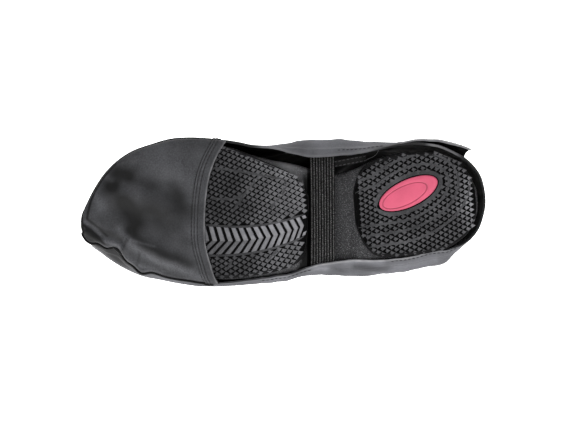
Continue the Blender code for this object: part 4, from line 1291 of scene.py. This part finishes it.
def flap_faces(columns):
    """Outer and inner face of the closure flap at some stations, standing off the plain cover."""
    theta = np.linspace(0, math.pi, 240)
    loops = [low_loop(theta, q) for q in np.linspace(0, 1, 9)]
    loops += [wall_loop(theta, s) for s in np.linspace(0, 1, 9)[1:-1]]
    loops += [high_loop(theta, float(h)) for h in np.linspace(WALL_HEIGHT, FLAP_TOP, 62)]
    grid = np.array(loops)
    thin = 0.12 + 0.88 * ease((FLAP_THIN_AT - columns) / 14)
    free = ease((FLAP_FREE_AT - columns) / 18)
    face, lining = [], []
    for level, (loop, out) in enumerate(zip(grid, grid_normals(grid, False))):
        order = np.argsort(loop[:, 0])
        row, side = (read_along(columns, loop[order, 0], points[order]) for points in (loop, out))
        lift = ease(1 - (row[:, 2] - HEM_HEIGHT) / FLAP_LIFT_HEIGHT)
        stand = FLAP_TOP_STANDOFF + (line(FLAP, columns) - FLAP_TOP_STANDOFF) * lift
        stand = np.maximum(stand, FLAP_LEAST) + FLAP_PLAY + (HEM_STEP - FLAP_PLAY) * ease((4 - level) / 2)
        stand = stand + 0.5 * free * (1 + ripple(row[:, 2] / 9, 31)) * looks().crease_depth
        stand = stand * (0.3 + 0.7 * thin)
        lining.append(row + side * stand[:, None])
        face.append(row + side * (stand + FLAP_THICK * thin)[:, None])
    return np.array(face), np.array(lining)


class OVERSHOE_OT_flap(bpy.types.Operator):
    """Second layer on the inner side of the heel, free along its rear edge"""
    bl_idname = "overshoe.flap"
    bl_label = "Closure flap"

    def execute(self, context):
        own = looks()
        slot = "flap_fabric"
        columns = np.linspace(FLAP[0][0], FLAP[-1][0], FLAP_COLUMNS)
        face, lining = flap_faces(columns)
        rear = np.abs(columns - FLAP[-1][0])[None, :]
        lowest = np.arange(len(face))[:, None] < 1
        # Pale rear edge and lowest row: wear and painted highlight; painted shade beside the hem line
        values = {"worn": 0.8 * gauss(rear, 1.2) + 0.8 * lowest, "shade": 0.5 * gauss(rear - FLAP_HEM, 0.7),
                  "tone": 0.5}
        values = {key: np.broadcast_to(grids, face.shape[:2]) for key, grids in values.items()}
        finish = coated_fabric(slot, own.cover_colour_with_sheen, own, 0.2)
        piece = shell("rear_flap", face, lining, False, finish, values,
                      lining_cloth("flap_lining", own.lining_shade_colour))
        seat(piece, slot, "closure_flap")
        normal = grid_normals(face, False)
        if normal[20, 10, 1] < 0:
            normal = -normal
        at = int(np.argmin(np.abs(rear[0] - FLAP_HEM)))
        seams = ((slice(3, -3), at), (-4, slice(2, -2)), (slice(3, -3), 2))
        rows = [(face[seam], normal[seam]) for seam in seams]
        sewn = stitches("flap_stitches", rows, thread("flap_thread", own.thread_colour), slot)
        return {"FINISHED"}


# Elastic strap: roundness and depth of its ribs, their floor under its face, and its waisting
RIB_ROUND = 0.8
RIB_DEEP = 0.5
RIB_FLOOR = 0.45
STRAP_WAISTED = 0.03


class OVERSHOE_OT_strap(bpy.types.Operator):
    """Ribbed elastic strap under the waist, its ends inside the two hems"""
    bl_idname = "overshoe.strap"
    bl_label = "Elastic strap"

    def execute(self, context):
        own = looks()
        y, h, a = through(STRAP, 120)
        along = unit(np.stack([np.gradient(y), np.gradient(h)], axis=-1))
        w = np.linspace(-0.5, 0.5, own.strap_ribs * 8 + 1)
        rib = np.abs(np.cos(math.pi * own.strap_ribs * (w + 0.5) - math.pi / 2)) ** RIB_ROUND
        lift = STRAP_THICK / 2 - RIB_FLOOR + (RIB_DEEP * rib + 0.05) * ease((0.5 - np.abs(w)) / 0.02)
        pull = 1 - STRAP_WAISTED * np.sin(math.pi * np.linspace(0, 1, len(y)))
        station = a[:, None] + w[None, :] * STRAP_WIDE * pull[:, None]
        face, back = (np.stack([station, y[:, None] + along[:, 1:] * rise, h[:, None] - along[:, :1] * rise],
                               axis=-1)
                      for rise in (lift, np.full_like(w, -STRAP_THICK / 2)))
        finish = ribbed_elastic("elastic", own.elastic_colour, own.fleck_colour)
        piece = shell("strap", face, back, False, finish, {"rib": np.broadcast_to(rib, face.shape[:2])})
        seat(piece, "elastic", "elastic_strap")
        return {"FINISHED"}


def sole_stations(rows, steps, extra=()):
    start, end = rows[0][0], rows[-1][0]
    made = start + (end - start) * (1 - np.cos(math.pi * np.linspace(0, 1, steps))) / 2
    return np.unique(np.concatenate([made, np.array(extra, dtype=float)]).round(4))


def corner(y, h, edge, side, count=5):
    """Rounded lower edge of a sole piece; side is -1 on the outer side and 1 on the inner side."""
    angles = np.linspace(0, math.pi / 2, count)
    return [(y - side * edge * (1 - math.sin(t)), h + edge * (1 - math.cos(t))) for t in angles]


# Middle and half length of the waist whose sections are skewed
SKEW_AT = 139
SKEW_HALF = 30


def slab(steps, under, top, edge, inset=0.0, extra=(), splits=0):
    """Rings of a sole slab with rounded lower edges, skewed at the waist; splits adds points underneath."""
    rings = []
    for a in sole_stations(SOLE, steps, extra):
        lean = WAIST_SKEW / 2 * float(ease(1 - abs(a - SKEW_AT) / SKEW_HALF))
        outer = float(edge_y(SOLE, a + lean, 1)) + inset
        inner = float(edge_y(SOLE, a - lean, 2)) - inset
        low, high = float(under(a)), float(top(a))
        rounded = min(edge, (inner - outer) / 4, (high - low) / 2)
        outline = corner(inner, low, rounded, 1) + [(inner, high), (outer, high)]
        outline += corner(outer, low, rounded, -1)[::-1]
        outline += [(y, low) for y in np.linspace(outer + edge, inner - edge, splits + 2)[1:-1]]
        middle = (outer + inner) / 2
        rings.append([(a - 2 * lean * (y - middle) / (inner - outer), y, h) for y, h in outline])
    return np.array(rings)


# Plain ends of a tread pad, the width of its plain border, and its edge's share of the solid's
PAD_END = 1.2
PAD_BORDER = 0.8
PAD_EDGE = 0.55
# Lug value of each point across a tread pad: its rim is nearly black, its floor black, both painted shade
# over black rubber
PAD_VALUES = [0.0] * 3 + [0.05, 0.1, 0.1, 0.0, 0.0, 0.1, 0.1, 0.05] + [0.0] * 5


def tread_pad(name, rows, steps, thick, under, recess, finish):
    """Tread pad whose middle is recessed to the tread floor."""
    rings = []
    for a in sole_stations(rows, steps):
        outer, inner = (float(edge_y(rows, a, column)) for column in (1, 2))
        low = float(under(a))
        deep = recess * float(between(a, rows[0][0] + PAD_END, 1.0, rows[-1][0] - PAD_END, 1.0))
        edge = min(TREAD_EDGE, (inner - outer) / 4, thick / 2) * PAD_EDGE
        side = edge + PAD_BORDER
        drop = side + min(0.3, (inner - outer - 2 * side) / 4)
        outline = corner(inner, low, edge, 1)[::-1]
        outline += [(inner - side, low), (inner - drop, low + deep)]
        outline += [(outer + drop, low + deep), (outer + side, low)]
        outline += corner(outer, low, edge, -1) + [(outer, low + thick), (inner, low + thick)]
        rings.append([(a, y, h) for y, h in outline])
    return lofts(name, [rings], finish, {"lug": [PAD_VALUES] * len(rings)}, 35)


# Share of a band's width at its top, its brightness, and where the tread grows darker towards the toe with
# painted shade
RAIL_TOP = 0.93
RAIL_VALUE = 0.8
DARK_FROM = 168
DARK_LONG = 36


def rail(path, width, low, high):
    """Rings and lug values of a plain raised band along a path of station and inner/outer position."""
    path = np.asarray(path, dtype=float)
    ahead = unit(np.gradient(path, axis=0))
    share = np.linspace(0, 1, len(path))
    wide = width * np.minimum(1, np.minimum(share, 1 - share) * 14 + 0.15)
    rings = []
    for (a, y), (along, out), half, base in zip(path, ahead, wide / 2, spring(path[:, 0])):
        rings.append([(a - out * offset, y + along * offset, base + h) for offset, h in
                      ((-half, low), (-half * RAIL_TOP, high), (half * RAIL_TOP, high), (half, low))])
    # Painted shade: the band's walls nearly black, its top darker towards the toe
    dim = RAIL_VALUE * (1 - 0.42 * ease((path[:, 0] - DARK_FROM) / DARK_LONG))
    return rings, [[0.1, d, d, 0.1] for d in dim]


def valued_lofts(name, solids, finish, sharp=30):
    """One piece from pairs of rings and lug values."""
    values = np.concatenate([np.ravel(value) for _, value in solids])
    return lofts(name, [rings for rings, _ in solids], finish, {"lug": values}, sharp)


def strip_edge(a, side):
    """Edge of the chevron strip at a station; side is -1 outer, 1 inner."""
    return curve(CHEVRON, a) + side * curve(CHEVRON, a, 2)


# Plain bands that cross the lugs of the forefoot: points as station and inner/outer position
FORE_PLAIN = (((216, 38), (190, 32.6), (171, 27.8), (155, 23.4)),
              ((216, 13), (198, 11), (188, 14.4), (176, 28)), ((198.5, 1.5), (188, 14.4)),
              ((168.5, 1.5), (157, 14.4), (155, 23.4)), ((206, -44), (202, -37.5)), ((174, -40), (165, -31)))
# Lug lattices of the two pads: slope of the rows, number of rows, first row's position and the station it
# is taken at, first and last station; the outer field of the forefoot follows the chevron strip
FORE_SLOPE = -0.075
FORE_ROWS = 36
FORE_ROW_AT = -14.0
FORE_TURN = 190
FORE_RUN = (135.0, 238.0)
OUTER_ROWS = 9
OUTER_ROW_AT = 3.0
OUTER_RUN = (137.0, 238.0)
HEEL_SLOPE = -0.068
HEEL_ROWS = 44
HEEL_ROW_AT = -47.0
HEEL_TURN = 52
HEEL_RUN = (4.0, 102.0)
# Clear width between the inner lugs and the chevron strip, and the widths of the plain bands
STRIP_CLEAR = 2.2
FORE_BAND = 2.0
STRIP_BAND = 1.7
HEEL_BAND = 1.9
BADGE_BAND = 3.2
# Stations between which the chevron strip's two borders run: sides and starts, and their end
STRIP_BORDERS = ((-1, 143.5), (1, 142.5))
STRIP_END = 236
# Heel lugs: pitch, depth of the notch, length and width as shares of the forefoot's
HEEL_PITCH = 1.03
HEEL_NOTCH = 1.35
HEEL_LUG = (0.96, 0.93)
# Distances from the badge within which no lug stands, and of the middle of its ring
BADGE_CLEAR = 2.6
BADGE_RING = 2.5
# Distances of the heel's plain bands from their guide
HEEL_BANDS = (8.8, 16.4, 25.4)
# How deep lugs stand in the floor, their largest lean, and a station between the two pads
LUG_ROOT = 0.15
LUG_LEAN = 0.035
FORE_FROM = 120


def lug_field(name, lugs, notch, finish, slot):
    """All lugs of a tread as one piece; each has a station, position, slope and two shares of its size."""
    own = looks()
    a, y, slant, long, wide = np.array(lugs, dtype=float).T
    ones = np.ones(len(lugs))
    along = unit(np.stack([ones, slant], axis=-1))
    deep = own.lug_height / MM + LUG_ROOT
    slope = (spring(a + 1) - spring(a - 1)) / 2
    base = np.stack([a, y, spring(a) + deep], axis=-1)
    forward = np.stack([along[:, 0], along[:, 1], slope * along[:, 0]], axis=-1)
    lean = np.random.default_rng(5).uniform(-LUG_LEAN, LUG_LEAN, (len(lugs), 2))
    down = np.stack([slope + lean[:, 0], lean[:, 1], -ones], axis=-1)
    whole = (own.lug_pitch, own.lug_row * 2, deep * MM)
    sizes = np.stack([long, wide, ones], axis=-1)
    piece = scattered(name, "lug", base, forward, down, sizes, whole, finish, notch)
    mesh = piece.data
    places = np.zeros(len(mesh.vertices) * 3, dtype=np.float32)
    mesh.vertices.foreach_get("co", places)
    x, h, z = (places.reshape(-1, 3) / MM).T
    a, y = ORIGIN_A - x, z - ORIGIN_Y
    proud = spring(a) + deep - (h - ORIGIN_H)
    # Lug value with painted shade: the walls darken towards the tread floor, and the lugs towards the toe
    dim = 1 - 0.36 * ease((a - DARK_FROM) / DARK_LONG)
    point_values(mesh, "lug", np.clip(proud / deep * 1.15 - 0.1, 0, 1) * dim)
    # Rub value, partly wear and partly painted light: the forefoot lighter towards the strap, away from the
    # toe pocket's shade, and along its inner rim; the heel lighter at its back
    inner_rim = edge_y(FORE_TREAD, np.maximum(a, FORE_TREAD[0][0]), 2) - y
    fore = 0.30 * ease((196 - a) / 46) + 0.25 * gauss(inner_rim, 9)
    point_values(mesh, "rub", np.where(a > FORE_FROM, fore, gauss(a - 5, 12) * gauss(y + 6, 26)))
    return seat(piece, slot)


# A point that ends the last run of a path, and a band's distance from the edge of its tread
OFF_THE_SOLE = (-99.0, 0.0)
BAND_CLEAR = 1.5


def flush_bands(paths, rows, width, deep):
    """Plain bands flush with the lugs, each path cut where it leaves the tread outline."""
    made = []
    for path in paths:
        path = np.asarray(path, dtype=float)
        reach = path_reach(path)
        at = np.linspace(0, reach[-1], max(8, int(reach[-1] / 1.5)))
        run = []
        for a, y in [*read_along(at, reach, path), OFF_THE_SOLE]:
            clear = rows[0][0] + BAND_CLEAR < a < rows[-1][0] - BAND_CLEAR
            if clear and edge_y(rows, a, 1) + BAND_CLEAR < y < edge_y(rows, a, 2) - BAND_CLEAR:
                run.append((a, y))
                continue
            if len(run) > 5:
                made.append(rail(run, width, deep + 0.1, -0.02))
            run = []
    return made


def lug_row(run, k, pitch):
    """Stations of one row of lugs; every other row is shifted by half a pitch."""
    return np.arange(run[0] + pitch / 2 * (k % 2), run[1], pitch)


class OVERSHOE_OT_forefoot(bpy.types.Operator):
    """Front tread pad with rows of notched lugs, plain swooping bands and strip borders"""
    bl_idname = "overshoe.forefoot"
    bl_label = "Forefoot tread"

    def execute(self, context):
        own = looks()
        slot = "forefoot_rubber"
        pitch, gap, deep = own.lug_pitch / MM, own.lug_row / MM, own.lug_height / MM
        finish = tread_rubber(slot, own.lug_colour, own.shaded_floor_colour)
        pad = tread_pad("forefoot_pad", FORE_TREAD, 150, FORE_TREAD_THICK, spring, deep, finish)
        seat(pad, slot, "forefoot_tread")
        lugs = []
        for k in range(FORE_ROWS):
            for a in lug_row(FORE_RUN, k, pitch) - FORE_SLOPE * k * gap:
                y = FORE_ROW_AT + k * gap + FORE_SLOPE * (a - FORE_TURN)
                inside = strip_edge(a, 1) + STRIP_CLEAR < y < edge_y(FORE_TREAD, a, 2) - 0.2
                if inside and a >= 142.2 + 0.08 * abs(y):
                    keep = 1.0 - 0.09 * float(ease((a - 150) / 50))
                    lugs.append((a, y, FORE_SLOPE, keep, keep))
        for k in range(OUTER_ROWS):
            for base in lug_row(OUTER_RUN, k, pitch):
                lean = float(strip_edge(base + 1, -1) - strip_edge(base - 1, -1)) / 2
                down = k * gap / math.hypot(1, lean)
                a = base + lean * down
                y = float(strip_edge(base, -1)) - OUTER_ROW_AT - down
                if y >= edge_y(FORE_TREAD, a, 1) + 0.4 and a >= 144.0 + 0.25 * max(0.0, -22 - y):
                    keep = 0.99 - 0.08 * float(ease((a - 155) / 50))
                    lugs.append((a, y, lean, keep, keep))
        lug_field("forefoot_lugs", lugs, own.lug_notch, finish, slot)
        bands = flush_bands(FORE_PLAIN, FORE_TREAD, FORE_BAND, deep)
        for side, start in STRIP_BORDERS:
            a = np.linspace(start, STRIP_END, 60)
            path = np.stack([a, strip_edge(a, side) + side * STRIP_BAND / 2], axis=-1)
            bands.append(rail(path, STRIP_BAND, deep + 0.1, 0.0))
        seat(valued_lofts("forefoot_bands", bands, finish), slot)
        return {"FINISHED"}


# Shares across a chevron bar, and the lug values along its section: its ends, sunk to the tread floor, nearly
# black with painted shade
BAR_ACROSS = (-1.0, -0.985, -0.66, -0.33, -0.04, 0.0, 0.04, 0.33, 0.66, 0.985, 1.0)
BAR_VALUES = np.array([0.05, 0.85, 1.0, 1.0, 0.85, 0.05])


def chevron_bar(start, across, low):
    """Rings and lug values of one bar, or of one arm of it."""
    end = start + float(curve(CHEVRON, start, 5))
    # Painted shade of the arms: the outer arm, turned away from the light from above, darker, and both darker
    # towards the toe
    inner_arm = 0.60 + 0.40 * float(ease((204 - start) / 46))
    outer_arm = 0.24 + 0.64 * float(ease((206 - start) / 56))
    rings = []
    for v in across:
        top = 0.2 if abs(v) < 0.99 else 0.7
        s = np.array([start, start + 0.3, start + 0.55, end - 0.55, end - 0.3, end])
        a = s + curve(CHEVRON, s, 3 if v < 0 else 4) * abs(v)
        y = curve(CHEVRON, a) + v * curve(CHEVRON, a, 2)
        h = spring(a) + np.array([low, top + 0.12, top, top, top + 0.12, low])
        rings.append(np.stack([a, y, h], axis=-1))
    return rings, [BAR_VALUES * (outer_arm if v < 0 else inner_arm) for v in across]


class OVERSHOE_OT_chevrons(bpy.types.Operator):
    """Grey chevron bars down the middle of the forefoot"""
    bl_idname = "overshoe.chevrons"
    bl_label = "Chevron strip"

    def execute(self, context):
        own = looks()
        first, *others = CHEVRON_STARTS
        runs = [(start, BAR_ACROSS) for start in others] + [(first, BAR_ACROSS[:3]), (first, BAR_ACROSS[-3:])]
        bars = [chevron_bar(start, across, own.lug_height / MM + 0.12) for start, across in runs]
        piece = valued_lofts("chevron_bars", bars, satin_rubber("chevron_rubber", own.bar_colour), 25)
        seat(piece, "chevron_rubber", "chevron_strip")
        return {"FINISHED"}


def badge_turned(u, w, way=1):
    """Turns positions along and across the badge into the shoe's, or back with way -1."""
    angle = math.radians(BADGE_TURN) * way
    return u * math.cos(angle) + w * math.sin(angle), w * math.cos(angle) - u * math.sin(angle)


def badge_oval(t, long=BADGE_LONG, short=BADGE_SHORT):
    a, y = badge_turned(long * np.cos(t), short * np.sin(t))
    return np.stack([BADGE_AT[0] + a, BADGE_AT[1] + y], axis=-1)


def badge_reach(a, y, widen):
    """Below 1 inside the badge oval widened by some millimetres."""
    u, w = badge_turned(a - BADGE_AT[0], y - BADGE_AT[1], -1)
    return math.hypot(u / (BADGE_LONG + widen), w / (BADGE_SHORT + widen))


class OVERSHOE_OT_heel(bpy.types.Operator):
    """Heel tread pad with rows of notched lugs, plain bands in a U and a ring round the badge"""
    bl_idname = "overshoe.heel"
    bl_label = "Heel tread"

    def execute(self, context):
        own = looks()
        slot = "heel_rubber"
        pitch, gap, deep = own.lug_pitch / MM * HEEL_PITCH, own.lug_row / MM, own.lug_height / MM
        finish = tread_rubber(slot, own.lug_colour, own.shaded_floor_colour)
        pad = tread_pad("heel_pad", HEEL_TREAD, 110, HEEL_TREAD_THICK, lambda a: 0.0, deep, finish)
        seat(pad, slot, "heel_tread")
        lugs = []
        for k in range(HEEL_ROWS):
            for a in lug_row(HEEL_RUN, k, pitch):
                y = HEEL_ROW_AT + k * gap + HEEL_SLOPE * (a - HEEL_TURN)
                rim = 0.4 + 0.9 * float(ease((a - 78) / 10))
                inside = edge_y(HEEL_TREAD, a, 1) + rim < y < edge_y(HEEL_TREAD, a, 2) - rim
                if inside and HEEL_TREAD[0][0] + 1.8 < a < 101.2 and badge_reach(a, y, BADGE_CLEAR) > 1:
                    lugs.append((a, y, HEEL_SLOPE, *HEEL_LUG))
        lug_field("heel_lugs", lugs, own.lug_notch * HEEL_NOTCH, finish, slot)
        oval = badge_oval(-np.radians(np.linspace(50, 320, 90)))
        guide = np.concatenate([[(103.0, -9.8)], oval, [(92.8, 3.0), (103.0, -1.5)]])
        ahead = unit(np.gradient(guide, axis=0))
        paths = []
        for away in HEEL_BANDS:
            path = guide + np.stack([-ahead[:, 1], ahead[:, 0]], axis=-1) * away
            paths.append(path[path_distance(path, guide)[0] > away - 0.2])
        bands = flush_bands(paths, HEEL_TREAD, HEEL_BAND, deep)
        ring = badge_oval(around(80), BADGE_LONG + BADGE_RING, BADGE_SHORT + BADGE_RING)
        bands.append(rail(np.concatenate([ring, ring[:2]]), BADGE_BAND, deep + 0.1, 0.05))
        seat(valued_lofts("heel_bands", bands, finish), slot)
        return {"FINISHED"}


# Profile of the badge from its rim to its middle: size, height, darkening
BADGE_PROFILE = ((1.0, 2.3, 0.4), (1.0, 1.0, 0.2), (0.985, 0.7, 0.0), (0.955, 0.52, 0.0), (0.80, 0.45, 0.0),
                 (0.785, 0.5, 0.2), (0.77, 0.8, 0.6), (0.755, 0.8, 0.6), (0.74, 0.5, 0.2), (0.72, 0.45, 0.0),
                 (0.35, 0.4, 0.0), (0.06, 0.4, 0.0))
BADGE_AROUND = 96
# How far the badge's inner ovals lie off its middle
BADGE_SHIFT = np.array([2.9, -1.7])


class OVERSHOE_OT_badge(bpy.types.Operator):
    """Plain pink heel oval with a ring groove"""
    bl_idname = "overshoe.badge"
    bl_label = "Heel badge"

    def execute(self, context):
        own = looks()
        rings = []
        for scale, h, _ in BADGE_PROFILE:
            short = max(BADGE_SHORT - BADGE_LONG * (1 - scale) * 0.55, BADGE_SHORT * scale * 0.3)
            ring = badge_oval(around(BADGE_AROUND), BADGE_LONG * scale, short)
            ring += BADGE_SHIFT * float(ease((0.97 - scale) / 0.2))
            rings.append(np.column_stack([ring, np.full(BADGE_AROUND, h)]))
        shade = [[row[2]] * BADGE_AROUND for row in BADGE_PROFILE]
        piece = lofts("badge_oval", [rings], moulded_badge("badge", own.badge_colour), {"shade": shade}, 40)
        seat(piece, "badge", "heel_badge")
        return {"FINISHED"}


# Extra sections of the insole and the sole body where its waist steps down and up
INSOLE_STATIONS = (136.6, 140.4)
WAIST_STATIONS = (102.6, 104, 107, 132.4, 133.4, 134.4, 135.5, 136.6, 138, 139.2, 140.4, 142, 144, 146)
INSOLE_EDGE = 0.8


def sole_height(column, extra=0.0):
    return lambda a: spring(a) + line(SOLE_BODY, a, column) + extra


class OVERSHOE_OT_sole(bpy.types.Operator):
    """Grained sole body with its recessed waist, and the insole"""
    bl_idname = "overshoe.sole"
    bl_label = "Sole body and insole"

    def execute(self, context):
        own = looks()
        rings = slab(150, sole_height(1), sole_height(2), SOLE_EDGE, extra=WAIST_STATIONS, splits=14)
        a, y = rings[..., 0], rings[..., 1]
        shade = ease((a - 132.6) / 0.8) * ease(142.0 + 0.3 * np.maximum(0, -20 - y) - a) * ease((29 - y) / 3)
        shade[:, 4:8] += 0.75
        values = {"shade": np.minimum(shade, 1.0), "pale": 0.75 * gauss(a - 153, 9) * ease((y - 20) / 8)}
        finish = grained_rubber("sole_rubber", own.sole_colour, own.grain_colour)
        seat(lofts("sole_body_rubber", [rings], finish, values), "sole_rubber", "sole_body")
        rings = slab(120, sole_height(2, SEAM_GAP), sole_height(2, SEAM_GAP + INSOLE_THICK), INSOLE_EDGE,
                     INSOLE_INSET, INSOLE_STATIONS)
        pad = lofts("insole_pad", [rings], foam("insole_foam", own.insole_colour), sharp=40)
        seat(pad, "insole_foam", "insole")
        return {"FINISHED"}


# The photograph's turn, the point it looks at as station and inner/outer position, and its size in metres
PHOTO_TURN = math.radians(4.08)
VIEW_AT = (157.1, -3.9)
VIEW_DISTANCE = 2.2
VIEW_WIDTH = 0.451
SENSOR = 36.0
# Strengths of the paper's and the air's glow, and powers of the lights in watts
FLOOR_GLOW = 2.2
AIR_GLOW = 0.12
KEY_POWER = 4.8
TOP_POWER = 84
BACKDROP_POWER = 40
# Studio floor: half its size, where its backdrop starts to rise, the bend's radius, the backdrop's height
FLOOR_REACH = 7.0
BEND_AT = 3.6
BEND = 0.9
BACKDROP = 4.0


def put_at(item, right, up, back, spot):
    """Sets an object's axes and place."""
    rows = np.eye(4)
    rows[:3] = np.stack([right, up, back, spot], axis=1)
    item.matrix_world = Matrix(rows.tolist())


def area_light(name, spot, aim, wide, high, power):
    data = bpy.data.lights.new(name, "AREA")
    data.shape = "RECTANGLE"
    data.size, data.size_y, data.energy = wide, high, power
    back = unit(np.subtract(spot, aim))
    right = unit(np.cross((0.0, 0.0, 1.0), back))
    put_at(link_piece(name, data), right, np.cross(back, right), back, spot)


class OVERSHOE_OT_stage(bpy.types.Operator):
    """Pale studio floor with a curved backdrop, soft lights and the camera"""
    bl_idname = "overshoe.stage"
    bl_label = "Stage"

    def execute(self, context):
        own = looks()
        scene = context.scene
        bend = [(BEND_AT + BEND * math.sin(t), BEND - BEND * math.cos(t))
                for t in np.linspace(0.1, math.pi / 2, 14)]
        rows = [(-FLOOR_REACH, 0.0), (BEND_AT, 0.0), *bend, (BEND_AT + BEND, BACKDROP)]
        points = [(x, y, z) for y, z in rows for x in (-FLOOR_REACH, FLOOR_REACH)]
        faces = [[2 * i, 2 * i + 1, 2 * i + 3, 2 * i + 2] for i in range(len(rows) - 1)]
        mesh = bpy.data.meshes.new("studio_floor")
        mesh.from_pydata(points, [], faces)
        mesh.polygons.foreach_set("use_smooth", [True] * len(mesh.polygons))
        mesh.materials.append(studio_white("studio_paper", own.paper_colour, FLOOR_GLOW * own.light))
        mesh.update()
        link_piece("studio_floor", mesh)

        scene.world = bpy.data.worlds.new("studio_air")
        scene.world.use_nodes = True
        air = scene.world.node_tree.nodes["Background"].inputs
        air["Color"].default_value = (1.0, 1.0, 1.0, 1.0)
        air["Strength"].default_value = AIR_GLOW * own.light
        middle = world((*VIEW_AT, 0.0))
        area_light("key_light", (-0.9, -1.9, 1.1), middle, 1.2, 1.0, KEY_POWER * own.light)
        area_light("top_light", (0.0, -0.15, 2.0), (0.0, -0.1, 0.0), 2.6, 2.4, TOP_POWER * own.light)
        area_light("backdrop_light", (0.0, 3.0, 2.6), (0.0, 4.5, 0.6), 3.0, 1.0, BACKDROP_POWER * own.light)

        camera = bpy.data.cameras.new("photo_camera")
        camera.sensor_width = SENSOR
        camera.lens = SENSOR * VIEW_DISTANCE / VIEW_WIDTH
        camera.clip_start, camera.clip_end = 0.05, 50.0
        scene.camera = link_piece("photo_camera", camera)
        right = (math.cos(PHOTO_TURN), 0.0, -math.sin(PHOTO_TURN))
        up = (math.sin(PHOTO_TURN), 0.0, math.cos(PHOTO_TURN))
        put_at(scene.camera, right, up, (0.0, -1.0, 0.0), middle - np.array([0.0, VIEW_DISTANCE, 0.0]))
        scene.view_settings.view_transform = "Standard"
        return {"FINISHED"}


STEPS = (OVERSHOE_OT_stage, OVERSHOE_OT_cover, OVERSHOE_OT_toe_pocket, OVERSHOE_OT_flap, OVERSHOE_OT_strap,
         OVERSHOE_OT_forefoot, OVERSHOE_OT_chevrons, OVERSHOE_OT_heel, OVERSHOE_OT_badge, OVERSHOE_OT_sole)


class OVERSHOE_PT_pieces(bpy.types.Panel):
    """Lists the pieces of the overshoe and their looks"""
    bl_label = "Rain Overshoe"
    bl_idname = "OVERSHOE_PT_pieces"
    bl_space_type = "VIEW_3D"
    bl_region_type = "UI"
    bl_category = "Overshoe"

    def draw(self, context):
        column = self.layout.column(align=True)
        for step in STEPS:
            column.operator(step.bl_idname, text=step.bl_label)
        box = self.layout.box()
        for name in OvershoeLooks.__annotations__:
            box.prop(context.scene.overshoe_looks, name)


CLASSES = (OvershoeLooks, *STEPS, OVERSHOE_PT_pieces)


def register():
    for item in CLASSES:
        bpy.utils.register_class(item)
    bpy.types.Scene.overshoe_looks = PointerProperty(type=OvershoeLooks)


def unregister():
    del bpy.types.Scene.overshoe_looks
    for item in reversed(CLASSES):
        bpy.utils.unregister_class(item)


def main():
    register()
    bpy.ops.overshoe.stage()
    bpy.ops.overshoe.cover()
    bpy.ops.overshoe.toe_pocket()
    bpy.ops.overshoe.flap()
    bpy.ops.overshoe.strap()
    bpy.ops.overshoe.forefoot()
    bpy.ops.overshoe.chevrons()
    bpy.ops.overshoe.heel()
    bpy.ops.overshoe.badge()
    bpy.ops.overshoe.sole()


if __name__ == "__main__":
    main()
